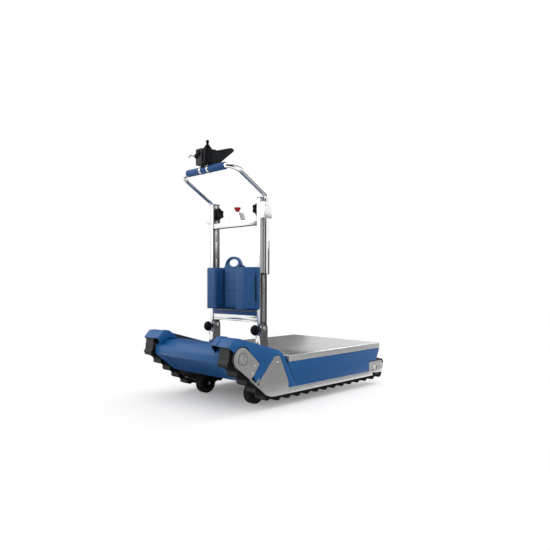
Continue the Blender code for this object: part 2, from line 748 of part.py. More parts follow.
def make_front_cover(side, tag):
    """The painted hood over the pulley: a side sheet with cut-outs round the two plates, and a top sheet."""
    low, high = sided(side, SKIN_X - COVER_WIDTH, SKIN_X)
    nose_ring = arc(PULLEY, TIP_RADIUS - 0.014, 36, 145, 12)
    foot_z = BED_Z + BED_HEIGHT - 0.003
    tip = Vector((PULLEY.x + 0.0766, PULLEY.y - 0.104))
    under = [Vector((COVER_LINE[-1].x, foot_z)), Vector((BEND.x, foot_z)), tip,
             PULLEY + Vector((0.030, -0.030)), *nose_ring]
    made = plate(f"front_cover_{tag}", [[*COVER_LINE[:-1], *under]], "side", low, high)
    inside = offset_chain(COVER_LINE[:7], SHEET)
    beyond = [inside[-1] + Vector((0.200, 0.0)), inside[-1] + Vector((0.200, -0.250)),
              inside[0] + Vector((-0.020, -0.250)), inside[0] + Vector((-0.020, -0.020))]
    hollow_low, hollow_high = sided(side, SKIN_X - COVER_WIDTH - 0.010, SKIN_X - SHEET)
    cut(made, plate(f"hollow_front_cover_{tag}", [[*inside, *beyond]], "side", hollow_low, hollow_high))
    step_low, step_high = sided(side, SKIN_X - COVER_WIDTH - 0.010, INNER_OUT_X + GAP)
    cut(made, box(f"step_front_cover_{tag}", (step_low, PRESS.x + 0.026, BED_Z),
                  (step_high, DECK_REAR, DECK_TOP * 2)))
    plates_low, plates_high = sided(side, SKIN_X - 0.010, SKIN_X + 0.010)
    for name, outline in (("pulley", pulley_plate_outline(SEAM)), ("bend", bend_plate_outline(SEAM))):
        cut(made, plate(f"{name}_window_{tag}", [outline], "side", plates_low, plates_high))
    return finished(made, "blue_paint")


def drum_line():
    """The drum's section, from its rear top edge over the nose to its rear bottom edge."""
    nose_y = PULLEY.x - DRUM_NOSE
    rear_y = COLUMN_FRONT - 0.026
    floor_z = PULLEY.y - DRUM_FLOOR
    return rounded([
        (rear_y, PRESS.y + 0.040), (PULLEY.x + 0.055, DRUM_TOP), (nose_y, DRUM_TOP),
        (nose_y, PULLEY.y - 0.022), (PULLEY.x + 0.053, PULLEY.y - DRUM_BELLY),
        (PULLEY.x + 0.125, floor_z), (rear_y, floor_z),
    ], [0, 0.020, DRUM_NOSE_BEND, 0.016, 0.012, 0.020, 0], 4, closed=False)


def make_drum():
    """The painted sheet round the motors, open to the rear, with a drain slot in its slope."""
    line = drum_line()
    half = INNER_IN_X - GAP
    form = bmesh.new()
    left = [form.verts.new((-half, *point)) for point in line]
    right = [form.verts.new((half, *point)) for point in line]
    for i in range(len(line) - 1):
        form.faces.new((left[i], left[i + 1], right[i + 1], right[i]))
    mesh = bpy.data.meshes.new("drum_cover")
    form.to_mesh(mesh)
    form.free()
    made = mesh_object("drum_cover", mesh)
    wall = made.modifiers.new("wall", "SOLIDIFY")
    wall.thickness = SHEET
    wall.offset = -1        # inwards
    wall.use_even_offset = True
    slope = Vector((0.0, DRUM_NOSE + 0.053, 0.022 - DRUM_BELLY)).normalized()
    centre = Vector((DRUM_SLOT_X, PULLEY.x - 0.008, PULLEY.y - 0.059))
    wide, long = DRUM_SLOT
    slot = box("slot_drum_cover", (-wide / 2, -long / 2, -0.020), (wide / 2, long / 2, 0.020))
    turn = Vector((0, 1, 0)).rotation_difference(slope).to_matrix().to_4x4()
    slot.matrix_world = Matrix.Translation(centre) @ turn
    cut(made, slot)
    return finished(made, "blue_paint")


def make_inner_cover(side, tag):
    """The narrow hood between the front cover and the drum's visible part."""
    outer_x = SKIN_X - COVER_WIDTH - GAP
    low, high = sided(side, outer_x - INNER_COVER_WIDTH, outer_x)
    nose_y = PULLEY.x - DRUM_NOSE
    drum = rounded([(PULLEY.x + 0.080, DRUM_TOP + SEAM), (nose_y - SEAM, DRUM_TOP + SEAM),
                    (nose_y - SEAM, PULLEY.y - 0.022)], [0, DRUM_NOSE_BEND + SEAM, 0], 6, closed=False)
    front = [point for point in drum if point.y > PULLEY.y + 0.030]
    top = [*COVER_LINE[:3], PULLEY + Vector((0.045, TIP_RADIUS - 0.003)),
           PULLEY + Vector((0.070, TIP_RADIUS - 0.012))]
    under = [point for point in front if point.x < PULLEY.x + 0.078]
    made = plate(f"inner_cover_{tag}", [[*top, front[0], *under[1:]]], "side", low, high)
    inside = offset_chain(top, SHEET)
    ends = [inside[-1] + Vector((0.0, -0.08)), inside[0] + Vector((-0.02, -0.10))]
    hollow_low, hollow_high = sided(side, outer_x - INNER_COVER_WIDTH + SHEET, outer_x + 0.010)
    cut(made, plate(f"hollow_inner_cover_{tag}", [[*inside, *ends]], "side", hollow_low, hollow_high))
    return finished(made, "blue_paint")


def make_motor(side, tag):
    """A gear motor on the frame plate, in line with its pulley."""
    length, radius = MOTOR_LENGTH, MOTOR_RADIUS
    gearbox, can = radius * 0.92, radius * 0.80
    profile = [(0, 0), (radius, 0), (radius, -0.012), (gearbox, -0.014), (gearbox, -0.055),
               (can, -0.058), (can, -length + 0.004), (can - 0.004, -length), (0, -length)]
    face = side * (INNER_IN_X - GAP)
    made = turned(f"drive_motor_{tag}", profile, "x" if side > 0 else "-x", (face, *PULLEY), 28)
    return finished(made, "grey_plastic")


def make_deck():
    """A folded sheet tray, open underneath."""
    half = SKIN_X
    low, high = (-half, DECK_FRONT, DECK_TOP - DECK_LIP), (half, DECK_REAR, DECK_TOP)
    made = box("load_deck", low, high)
    corner = made.modifiers.new("corners", "BEVEL")
    corner.width = 0.003
    corner.segments = 2
    inside = box("hollow_load_deck", (SHEET - half, DECK_FRONT + SHEET, DECK_TOP - DECK_LIP - 0.010),
                 (half - SHEET, DECK_REAR - SHEET, DECK_TOP - SHEET))
    cut(made, inside)
    reach = INNER_OUT_X + GAP
    cut(made, box("gap_load_deck", (-reach, DECK_FRONT - 0.010, DECK_TOP - DECK_LIP - 0.010),
                  (reach, DECK_FRONT + SHEET + 0.001, DECK_TOP - SHEET)))
    return finished(made, "aluminium")


def make_chassis():
    """Square tubes under the deck: one along each frame plate, and one across at each station."""
    front, rear = CROSS_STATIONS[0] - TUBE / 2, CROSS_STATIONS[-1] + TUBE / 2
    outer = INNER_IN_X - GAP
    made = box("chassis_frame", (outer - TUBE, front, CHASSIS_BOTTOM), (outer, rear, CHASSIS_TOP))
    fuse(made, box("left_tube", (-outer, front, CHASSIS_BOTTOM), (TUBE - outer, rear, CHASSIS_TOP)))
    for i, station in enumerate(CROSS_STATIONS):
        half = FOOT_CROSS_HALF if station == COLUMN_Y else TUBE / 2 - 0.001
        fuse(made, box(f"cross_tube_{i}", (TUBE / 2 - outer, station - half, CHASSIS_BOTTOM + 0.001),
                       (outer - TUBE / 2, station + half, CHASSIS_TOP - (0 if station == COLUMN_Y else 0.001))))
    return finished(made, "zinc_steel")


def make_foot_bracket(side, tag):
    """The fork that an upright pivots in: two cheeks, a low web in front and a base plate."""
    centre = side * UPRIGHT_X
    inside = UPRIGHT_WIDTH / 2 + GAP
    base = CHASSIS_TOP + GAP
    half = UPRIGHT_DEPTH / 2
    cheek = [(COLUMN_Y - half - BRACKET_FLARE, base), (COLUMN_Y + half + BRACKET_FLARE / 2, base),
             (COLUMN_Y + half, base + BRACKET_SHOULDER), *arc((COLUMN_Y, FOLD_Z), half, 0, 180, 10),
             (COLUMN_Y - half, base + BRACKET_SHOULDER)]
    made = plate(f"foot_bracket_{tag}", [cheek], "side", centre + inside, centre + inside + BRACKET_PLATE)
    fuse(made, plate(f"far_cheek_{tag}", [cheek], "side", centre - inside - BRACKET_PLATE, centre - inside))
    web_front, web_rear = COLUMN_FRONT - GAP - BRACKET_PLATE, COLUMN_FRONT - GAP
    web_low, web_high = base + 0.001, FOLD_Z - WEB_DROP
    fuse(made, box(f"web_{tag}", (centre - inside - 0.001, web_front, web_low),
                   (centre + inside + 0.001, web_rear, web_high)))
    for way, edge in ((1, "a"), (-1, "b")):
        low, high = sorted((centre + way * (inside + 0.001), centre + way * (inside + BRACKET_PLATE - 0.0005)))
        fuse(made, box(f"web_edge_{edge}_{tag}", (low, web_front, web_low),
                       (high, COLUMN_FRONT + 0.004, web_high)))
    reach = inside + BRACKET_PLATE + 0.010
    fuse(made, box(f"base_{tag}", (centre - reach, COLUMN_Y - half - BRACKET_FLARE + 0.001, base),
                   (centre + reach, COLUMN_Y + half + BRACKET_FLARE / 2 - 0.001, base + BRACKET_PLATE)))
    pivot = (centre, COLUMN_Y, FOLD_Z)
    cut(made, bore(f"hole_foot_{tag}", FOLD_PIN_RADIUS + SHAFT_GAP, "x", pivot, -0.03, 0.03))
    return finished(made, "zinc_steel")


def make_fold_pin(side, tag):
    centre = side * UPRIGHT_X
    reach = UPRIGHT_WIDTH / 2 + GAP + BRACKET_PLATE + GAP
    head, head_radius = 0.004, FOLD_PIN_RADIUS * 1.6
    half = [(0, reach + head), (head_radius, reach + head), (head_radius, reach), (FOLD_PIN_RADIUS, reach)]
    profile = half + [(radius, -x) for radius, x in reversed(half)]
    made = turned(f"fold_pin_{tag}", profile, "x", (centre, COLUMN_Y, FOLD_Z), 16)
    return finished(made, "zinc_steel")


def make_upright(side, tag):
    """An extruded profile with a groove down each broad face."""
    centre = side * UPRIGHT_X
    wide, deep = UPRIGHT_WIDTH / 2, UPRIGHT_DEPTH / 2
    half = [(wide, -deep), (wide, -GROOVE_WIDTH / 2), (wide - GROOVE_DEPTH, -GROOVE_WIDTH / 2),
            (wide - GROOVE_DEPTH, GROOVE_WIDTH / 2), (wide, GROOVE_WIDTH / 2), (wide, deep)]
    outline = [(centre + x, COLUMN_Y + y) for x, y in half]
    outline += [(centre - x, COLUMN_Y - y) for x, y in half]
    made = plate(f"upright_{tag}", [outline], "top", FOLD_Z - FOLD_TAIL, UPRIGHT_TOP)
    pivot = (centre, COLUMN_Y, FOLD_Z)
    hole = bore(f"hole_upright_{tag}", FOLD_PIN_RADIUS + SHAFT_GAP, "x", pivot, -0.02, 0.02)
    cut(made, hole, "MANIFOLD")
    return finished(made, "aluminium")


def channel(name, bottom, top):
    """A cross member between the uprights, a folded channel open to the rear."""
    front, rear = COLUMN_FRONT + 0.002, COLUMN_Y + UPRIGHT_DEPTH / 2 - 0.006
    made = box(name, (-CROSS_HALF, front, bottom), (CROSS_HALF, rear, top))
    cut(made, box(f"hollow_{name}", (-CROSS_HALF - 0.01, front + CROSS_WALL, bottom + CROSS_WALL),
                  (CROSS_HALF + 0.01, rear + 0.01, top - CROSS_WALL)))
    return made


def make_upper_cross():
    """The upper cross member, with the housing of the stop button on it."""
    made = channel("upper_cross_plate", UPPER_CROSS_BOTTOM, UPPER_CROSS_TOP)
    low, high = COLUMN_Y - 0.019, COLUMN_Y + 0.0155
    outline = rounded([(-0.046, UPPER_CROSS_TOP - 0.001), (0.046, UPPER_CROSS_TOP - 0.001),
                       (0.027, STOP_BOX_TOP), (-0.027, STOP_BOX_TOP)], [0, 0, 0.005, 0.005], 2)
    fuse(made, plate("stop_box", [outline], "front", low, high))
    cut(made, bore("hole_stop_box", STOP_NECK_RADIUS + SHAFT_GAP, "z", (0, COLUMN_Y, STOP_BOX_TOP),
                  -STOP_NECK_LENGTH - STOP_TRAVEL - 0.002, 0.010))
    return finished(made, "aluminium")


def make_stop_button():
    """A red mushroom head on a neck that goes down into its housing."""
    head = STOP_HEAD_TOP
    profile = [(0, head), (STOP_HEAD_RADIUS * 0.8, head), (STOP_HEAD_RADIUS, head - 0.003),
               (STOP_HEAD_RADIUS, head - 0.008), (STOP_NECK_RADIUS, STOP_TRAVEL + 0.001),
               (STOP_NECK_RADIUS, -STOP_NECK_LENGTH), (0, -STOP_NECK_LENGTH)]
    made = turned("stop_button", profile, "z", (0, COLUMN_Y, STOP_BOX_TOP), 20)
    return finished(made, "red_plastic")


def make_battery_tray():
    """The lower cross member and the tray on it, with a shelf that reaches forward under the battery."""
    top = BATTERY_BOTTOM - GAP
    made = channel("battery_tray", TRAY_BOTTOM - 0.001, top)
    fuse(made, channel("lower_cross", LOWER_CROSS_BOTTOM, TRAY_BOTTOM + 0.001))
    fuse(made, box("shelf", (-CROSS_HALF + 0.004, COLUMN_FRONT - BATTERY_DEPTH + 0.012, top - SHELF_THICKNESS),
                   (CROSS_HALF - 0.004, COLUMN_FRONT + 0.010, top - 0.0002)))
    return finished(made, "blue_paint")


def battery_outline():
    """The battery from above: a back plate with two deep ridges, which flare to its ends."""
    back = COLUMN_FRONT - GAP
    wing, valley, front = back - BATTERY_WING, back - BATTERY_VALLEY, back - BATTERY_DEPTH
    half = BATTERY_WIDTH / 2
    right = [(half, back), (half, wing), (half * 0.92, wing), (half * 0.76, front), (half * 0.41, front),
             (half * 0.38, valley)]
    left = [(-x, y) for x, y in reversed(right)]
    bends = [0.005, 0.006, 0, 0.008, 0.008, 0.004]
    return rounded(right + left, bends + bends[::-1], 2)


def make_battery():
    top = BATTERY_BOTTOM + BATTERY_HEIGHT
    back = COLUMN_FRONT - GAP
    made = plate("battery_pack", [battery_outline()], "top", BATTERY_BOTTOM, top)
    half, rise = BATTERY_GRIP_HALF, top + BATTERY_GRIP_RISE
    ring = rounded([(-half, top - 0.004), (0.006 - half, rise), (half - 0.006, rise), (half, top - 0.004)],
                   [0, 0.046, 0.046, 0], 6)
    inner_half, inner_rise = half - 0.022, rise - 0.013
    hole = rounded([(-inner_half, top + 0.004), (-inner_half, inner_rise), (inner_half, inner_rise),
                    (inner_half, top + 0.004)], 0.015, 4)
    rear = back - 0.002
    fuse(made, plate("battery_handle", [ring, hole], "front", rear - BATTERY_GRIP_THICKNESS, rear))
    return finished(made, "blue_paint")


def handle_route():
    """The right half of the bent tube, from the foot of its leg to the middle of the grip."""
    corners = [(HANDLE_X, HANDLE_Y, LEG_BOTTOM), (HANDLE_X, HANDLE_Y, LEG_BEND_Z),
               (HANDLE_X, GRIP_Y, GRIP_Z), (0, GRIP_Y, GRIP_Z)]
    right = rounded(corners, [0, 0.042, 0.056, 0], 6, closed=False)
    return right[:-1] + [Vector((-x, y, z)) for x, y, z in reversed(right[:-1])]


def slide_bar_box(name, side, grow):
    low, high = sided(side, UPRIGHT_OUT_X + GAP - grow, UPRIGHT_OUT_X + GAP + SLIDE_BAR + grow)
    return box(name, (low, HANDLE_Y - 0.024 - grow, LEG_BOTTOM + 0.004 - grow * 100),
               (high, HANDLE_Y + 0.004 + grow, CLAMP_TOP - 0.006 + grow * 100))


def make_handle():
    """The chrome tube with its flat slide bars, which run in the clamps."""
    made = swept("handle_tube", handle_route(), HANDLE_TUBE_RADIUS, 3)
    for side, tag in SIDES:
        fuse(made, slide_bar_box(f"slide_bar_{tag}", side, 0))
    return finished(made, "chrome")


def make_grip():
    """The sleeve on the tube, a turned pipe."""
    half, hole = GRIP_LENGTH / 2, HANDLE_TUBE_RADIUS + GAP
    profile = [(hole, half), (GRIP_RADIUS - 0.001, half), (GRIP_RADIUS, half - 0.002),
               (GRIP_RADIUS, 0.002 - half), (GRIP_RADIUS - 0.001, -half), (hole, -half)]
    return finished(turned("grip_sleeve", profile, "x", (0, GRIP_Y, GRIP_Z), 20), "blue_paint")


def make_tube_clamp(side, tag):
    """A block on an upright, bored for the tube and slotted for its slide bar."""
    low, high = sided(side, UPRIGHT_OUT_X + GAP, HANDLE_X + HANDLE_TUBE_RADIUS + 0.005)
    made = box(f"tube_clamp_{tag}", (low, HANDLE_Y - 0.030, CLAMP_BOTTOM), (high, HANDLE_Y + 0.017, CLAMP_TOP))
    cut(made, bore(f"bore_clamp_{tag}", HANDLE_TUBE_RADIUS + SHAFT_GAP, "z", (side * HANDLE_X, HANDLE_Y, 0),
                  CLAMP_BOTTOM - 0.05, CLAMP_TOP + 0.05))
    cut(made, slide_bar_box(f"bar_slot_{tag}", side, SHAFT_GAP))
    return finished(made, "aluminium")


def lobed_knob(name, axis, centre, radius, thick, lobes, stem, stem_radius, depth=0.10):
    """A knob whose rim waves in and out, on a threaded stem that comes out of its back."""
    count = lobes * 4
    rim = [Vector((math.cos(a), math.sin(a))) * radius * (1 - depth * (1 - math.cos(lobes * a)) / 2)
           for a in (2 * math.pi * i / count for i in range(count))]
    made = plate(name, [rim], "top", 0, thick)
    made.matrix_world = Matrix.Translation(centre) @ AXIS[axis] @ made.matrix_world
    fuse(made, rod(f"stem_{name}", stem_radius, axis, centre, -stem, thick / 2, 12))
    edge = made.modifiers.new("edges", "BEVEL")
    edge.width = thick * 0.12
    edge.segments = 1
    edge.limit_method = "ANGLE"
    edge.angle_limit = math.radians(50)
    return finished(made, "black_plastic")


def make_clamp_knob(side, tag):
    """The star knob on the inner face of an upright, which holds the handle's height.

    Its stem goes down to the floor of the upright's groove.
    """
    centre = (side * (UPRIGHT_IN_X - GAP - CLAMP_KNOB_STEM), COLUMN_Y, CLAMP_KNOB_Z)
    return lobed_knob(f"clamp_knob_{tag}", "-x" if side > 0 else "x", centre, CLAMP_KNOB_RADIUS,
                      CLAMP_KNOB_THICKNESS, 6, CLAMP_KNOB_STEM + GROOVE_DEPTH, 0.006)


def make_fold_knob(side, tag):
    """The round knob in front of an upright's foot, which locks the fold."""
    centre = (side * UPRIGHT_X, COLUMN_FRONT - GAP - FOLD_KNOB_STEM, FOLD_Z - FOLD_KNOB_DROP)
    return lobed_knob(f"fold_knob_{tag}", "-y", centre, FOLD_KNOB_RADIUS, FOLD_KNOB_THICKNESS, 8,
                      FOLD_KNOB_STEM, 0.007, 0.04)


def make_pod():
    """The joystick's housing, clamped on the grip, with a wing that rises to the rear."""
    rear, tip = GRIP_Y + WING_REAR, POD_TOP + WING_RISE
    outline = rounded([
        (GRIP_Y - 0.023, POD_BASE), (GRIP_Y + 0.046, POD_BASE), (GRIP_Y + 0.050, POD_BASE + 0.020),
        (GRIP_Y + 0.075, POD_BASE + 0.040), (rear, POD_TOP), (rear, tip - 0.002), (rear - 0.010, tip),
        (GRIP_Y + 0.030, POD_TOP + 0.002), (GRIP_Y + 0.012, POD_TOP),
        (GRIP_Y - POD_FRONT, POD_TOP), (GRIP_Y - POD_FRONT, POD_BASE + 0.030),
    ], [0.004, 0.006, 0.010, 0.010, 0.006, 0.004, 0.006, 0, 0, 0.006, 0.012], 2)
    made = plate("control_pod", [outline], "side", POD_X - POD_HALF, POD_X + POD_HALF)
    centre = (POD_X - 0.015, GRIP_Y, GRIP_Z)
    fuse(made, rod("band_pod", GRIP_RADIUS + 0.004, "x", centre, -BAND_HALF, BAND_HALF))
    cut(made, bore("bore_band_pod", GRIP_RADIUS + SHAFT_GAP, "x", centre, -0.03, 0.06))
    well = rod("bore_pod", BORE_RADIUS, "z", (POD_X, STICK_Y, POD_TOP), -STICK_BORE_DEPTH, 0.010)
    cut(made, well, "MANIFOLD")
    return finished(made, "black_plastic")


def make_joystick():
    """The stick on its ball, and the gimbal ring round the ball inside the housing."""
    ball = arc((0, 0), BALL_RADIUS, 70, -45, 8)
    top, cap, neck = STICK_TOP, 0.0065, 0.0045
    profile = [(0, top), (cap - 0.001, top), (cap, top - 0.003), (cap, top - 0.009), (neck, top - 0.012),
               (neck, BALL_RADIUS), *[(x, z) for x, z in ball], (0, ball[-1][1])]
    centre = (POD_X, STICK_Y, STICK_PIVOT_Z)
    stick = turned("joystick", profile, "z", centre, 16)
    half, hole = RING_HALF, BALL_RADIUS + GAP
    ring = turned("joystick_gimbal", [(hole, half), (RING_RADIUS, half), (RING_RADIUS, -half), (hole, -half)],
                  "z", centre, 20)
    return finished(stick, "black_plastic"), finished(ring, "grey_plastic")


def make_switch_box():
    """The grey box beside the joystick, on a band round the grip."""
    low, high = GRIP_Y - BOX_FRONT, GRIP_Y + 0.006
    made = box("switch_box", (BOX_X - BOX_HALF, low, BOX_BASE), (BOX_X + BOX_HALF, high, BOX_BASE + BOX_HEIGHT),
               0.004)
    centre = (BOX_X - 0.013, GRIP_Y, GRIP_Z)
    fuse(made, rod("band_switch", GRIP_RADIUS + 0.005, "x", centre, -BAND_HALF, BAND_HALF))
    cut(made, bore("bore_switch", GRIP_RADIUS + SHAFT_GAP, "x", centre, -0.04, 0.06))
    return finished(made, "grey_plastic")


def make_lever():
    """A turned hub on the box's front, with a thin hooked wire."""
    front = GRIP_Y - BOX_FRONT - GAP
    long, wide = LEVER_HUB_LENGTH, LEVER_HUB_RADIUS
    profile = [(0, long), (wide - 0.002, long), (wide, long - 0.002), (wide, 0), (0, 0)]
    hub = turned("speed_lever", profile, "-y", (LEVER_X, front, LEVER_Z), 16)
    route = rounded([(LEVER_X, front - 0.005, LEVER_Z), (LEVER_X - 0.028, front - 0.008, LEVER_Z + 0.004),
                     (LEVER_X - 0.044, front - 0.016, LEVER_Z + 0.006),
                     (LEVER_X - 0.048, front - 0.018, LEVER_Z - 0.006)], [0, 0.012, 0.006, 0], 3, closed=False)
    fuse(hub, swept("lever_wire", route, LEVER_WIRE_RADIUS, 1))
    return finished(hub, "black_plastic")


def make_wheel(side, tag):
    """A rubber tyre with its hub, bored for the stub axle."""
    half, hole, rim = WHEEL_WIDTH / 2, WHEEL_AXLE_RADIUS + SHAFT_GAP, WHEEL_RADIUS
    profile = [(hole, half - 0.002), (HUB_RADIUS, half - 0.002), (HUB_RADIUS + 0.006, half),
               (rim - 0.005, half), (rim, half - 0.006), (rim, 0.006 - half), (rim - 0.005, -half),
               (HUB_RADIUS + 0.006, -half), (HUB_RADIUS, 0.002 - half), (hole, 0.002 - half)]
    made = turned(f"front_wheel_{tag}", profile, "x", (side * WHEEL_X, WHEEL_Y, WHEEL_RADIUS), 24)
    return finished(made, "rubber")


def make_wheel_lift():
    """The cross shaft with a trailing arm and a stub axle for each front wheel."""
    reach = INNER_OUT_X - GAP
    made = rod("wheel_lift_frame", LIFT_SHAFT_RADIUS, "x", (0, *WHEEL_PIVOT), -reach, reach)
    hub = Vector((WHEEL_Y, WHEEL_RADIUS))
    way = (WHEEL_PIVOT - hub).normalized()
    start = math.degrees(math.atan2(way.y, way.x))
    half = ARM_WIDTH / 2
    outline = arc(hub, half, start + 90, start + 270, 8) + arc(WHEEL_PIVOT, half, start - 90, start + 90, 8)
    inner = WHEEL_X - WHEEL_WIDTH / 2 - RUN_GAP
    for side, tag in SIDES:
        low, high = sided(side, inner - ARM_THICKNESS, inner)
        fuse(made, plate(f"arm_{tag}", [outline], "side", low, high))
        low, high = sided(side, inner - ARM_THICKNESS / 2, WHEEL_X + WHEEL_WIDTH / 2 + 0.003)
        fuse(made, rod(f"stub_axle_{tag}", WHEEL_AXLE_RADIUS, "x", (0, WHEEL_Y, WHEEL_RADIUS), low, high, 16))
    return finished(made, "black_plastic")


def make_castor_wheel(side, tag):
    half, hole, rim = CASTOR_WIDTH / 2, CASTOR_AXLE_RADIUS + SHAFT_GAP, CASTOR_RADIUS
    profile = [(hole, half), (rim - 0.004, half), (rim, half - 0.004), (rim, 0.004 - half),
               (rim - 0.004, -half), (hole, -half)]
    centre = (side * CASTOR_X, CASTOR_Y + CASTOR_TRAIL, CASTOR_RADIUS)
    return finished(turned(f"castor_wheel_{tag}", profile, "x", centre, 28), "rubber")


def make_castor_fork(side, tag):
    """A fork with two cheeks and an axle, on a stem that turns in the castor beam."""
    x, inside = side * CASTOR_X, CASTOR_WIDTH / 2 + RUN_GAP
    axle = Vector((CASTOR_Y + CASTOR_TRAIL, CASTOR_RADIUS))
    cheek = [(CASTOR_Y - 0.020, FORK_TOP), (CASTOR_Y - 0.020, FORK_TOP - 0.012),
             *arc(axle, 0.011, 200, 380, 6), (CASTOR_Y + 0.024, FORK_TOP - 0.012), (CASTOR_Y + 0.024, FORK_TOP)]
    made = box(f"castor_fork_{tag}", (x - inside - FORK_PLATE, CASTOR_Y - 0.022, FORK_TOP - 0.004),
               (x + inside + FORK_PLATE, CASTOR_Y + 0.026, FORK_TOP))
    for name, low in (("a", x + inside), ("b", x - inside - FORK_PLATE)):
        fuse(made, plate(f"fork_cheek_{name}_{tag}", [[Vector(p) - Vector((0, 0.001)) for p in cheek]],
                         "side", low + 0.0002, low + FORK_PLATE - 0.0002))
    fuse(made, rod(f"fork_axle_{tag}", CASTOR_AXLE_RADIUS, "x", (x, *axle), -inside - FORK_PLATE - 0.002,
                   inside + FORK_PLATE + 0.002, 12))
    fuse(made, rod(f"fork_stem_{tag}", CASTOR_STEM_RADIUS, "z", (x, CASTOR_Y, FORK_TOP), -0.002, 0.020, 16))
    return finished(made, "zinc_steel")


def make_castor_lift():
    """The rear cross beam that the castors turn in, on two arms from its own cross shaft."""
    bottom, top = CASTOR_BEAM_BOTTOM, CASTOR_BEAM_BOTTOM + CASTOR_BEAM_HEIGHT
    reach = CASTOR_X + 0.030
    made = box("castor_lift_frame", (-reach, CASTOR_Y - CASTOR_BEAM_HALF, bottom),
               (reach, CASTOR_Y + CASTOR_BEAM_HALF, top))
    shaft = INNER_OUT_X - GAP
    fuse(made, rod("castor_shaft", LIFT_SHAFT_RADIUS, "x", (0, *CASTOR_PIVOT), -shaft, shaft))
    for side, tag in SIDES:
        x = side * (CASTOR_X - CASTOR_ARM_INSET)
        fuse(made, box(f"castor_arm_{tag}",
                       (x - CASTOR_ARM_HALF, CASTOR_PIVOT.x - 0.014, CASTOR_PIVOT.y - 0.008),
                       (x + CASTOR_ARM_HALF, CASTOR_Y, CASTOR_PIVOT.y + 0.004)))
        cut(made, bore(f"castor_socket_{tag}", CASTOR_STEM_RADIUS + SHAFT_GAP, "z",
                       (side * CASTOR_X, CASTOR_Y, bottom), -0.01, CASTOR_BEAM_HEIGHT + 0.01, 16))
    return finished(made, "zinc_steel")


for side, tag in SIDES:
    make_belt(side, tag)
    make_roller(f"drive_pulley_{tag}", side, PULLEY, PULLEY_RADIUS - GAP, 24)
    make_roller(f"rear_roller_{tag}", side, REAR, REAR_RADIUS - GAP, 20)
    make_roller(f"press_roller_{tag}", side, PRESS, PRESS_RADIUS - GAP, 16)
    make_bed(side, tag)
    make_inner_plate(side, tag)
    make_pulley_plate(side, tag)
    make_bend_plate(side, tag)
    make_tensioner_plate(side, tag)
    make_skirt(side, tag)
    make_front_cover(side, tag)
    make_inner_cover(side, tag)
    make_motor(side, tag)
    make_foot_bracket(side, tag)
    make_fold_pin(side, tag)
    make_wheel(side, tag)

make_deck()
make_chassis()
make_drum()

origin_at(make_wheel_lift(), (0, *WHEEL_PIVOT))
origin_at(make_castor_lift(), (0, *CASTOR_PIVOT))
for side, tag in SIDES:
    make_castor_wheel(side, tag)
    origin_at(make_castor_fork(side, tag), (side * CASTOR_X, CASTOR_Y, FORK_TOP))

column = [make_upper_cross(), make_battery_tray()]
column.append(make_stop_button())
column.append(make_battery())
for side, tag in SIDES:
    column += [make_upright(side, tag), make_tube_clamp(side, tag), make_clamp_knob(side, tag),
               make_fold_knob(side, tag)]
carried("column_fold_axis", (0, COLUMN_Y, FOLD_Z), column)

stick, gimbal = make_joystick()
handle = [make_handle(), make_grip(), make_pod(), make_switch_box(), make_lever(), stick, gimbal]
carried("handle_slide_axis", (0, HANDLE_Y, CLAMP_BOTTOM), handle)
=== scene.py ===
# %% [markdown]
# # A stair climbing trolley on two lugged tracks
#
# The trolley rolls on two rubber belts and carries its load on a sheet deck. A column of two
# aluminium profiles holds the battery, and a bent chrome handle slides in clamps at its top.
# The frame that is loaded here already has each part at its real size and on its joint. This
# lesson gives each part the finish, the rounded edges and the small fittings of the real one.
#
# The frame comes first, because every piece takes its place from it.

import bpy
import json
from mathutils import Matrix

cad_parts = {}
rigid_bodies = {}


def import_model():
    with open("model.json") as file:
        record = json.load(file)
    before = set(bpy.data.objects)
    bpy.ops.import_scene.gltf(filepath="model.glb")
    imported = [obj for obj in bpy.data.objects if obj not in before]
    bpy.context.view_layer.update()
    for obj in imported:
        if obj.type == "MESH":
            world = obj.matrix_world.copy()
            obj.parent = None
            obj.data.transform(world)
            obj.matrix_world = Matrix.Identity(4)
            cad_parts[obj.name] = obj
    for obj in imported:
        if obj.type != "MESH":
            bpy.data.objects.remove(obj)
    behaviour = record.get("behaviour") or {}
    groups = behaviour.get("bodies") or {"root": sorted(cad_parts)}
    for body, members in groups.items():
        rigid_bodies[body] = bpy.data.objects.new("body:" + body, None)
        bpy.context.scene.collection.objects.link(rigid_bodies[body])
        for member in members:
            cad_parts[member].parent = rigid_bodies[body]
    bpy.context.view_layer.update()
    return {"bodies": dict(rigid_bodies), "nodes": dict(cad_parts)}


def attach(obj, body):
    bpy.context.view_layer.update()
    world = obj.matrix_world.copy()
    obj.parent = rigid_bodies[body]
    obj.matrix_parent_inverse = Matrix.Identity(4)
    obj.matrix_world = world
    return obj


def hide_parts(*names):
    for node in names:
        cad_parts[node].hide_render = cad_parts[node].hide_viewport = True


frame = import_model()

# %% Modules
import json
import math

import bmesh
import bpy
from mathutils import Matrix, Vector

SIDES = ((1, "r"), (-1, "l"))
scene = bpy.context.scene

# %% [markdown]
# ## The camera
#
# The column's edges stay parallel in the photograph, so the camera is level. It stands at the
# corner of the trolley, 44.5 degrees from the front, and its frame is moved up a little.

# %% Camera
EYE, TURN = Vector((2.022, -2.034, 0.568)), math.radians(44.5)
camera_data = bpy.data.cameras.new("photo_camera")
camera_data.lens = 36
camera_data.sensor_width = 36
camera_data.shift_y = 0.0091
camera = bpy.data.objects.new("photo_camera", camera_data)
scene.collection.objects.link(camera)
camera.location = EYE
camera.rotation_euler = (math.pi / 2, 0, TURN)
scene.camera = camera
print("camera at", tuple(round(value, 3) for value in EYE))

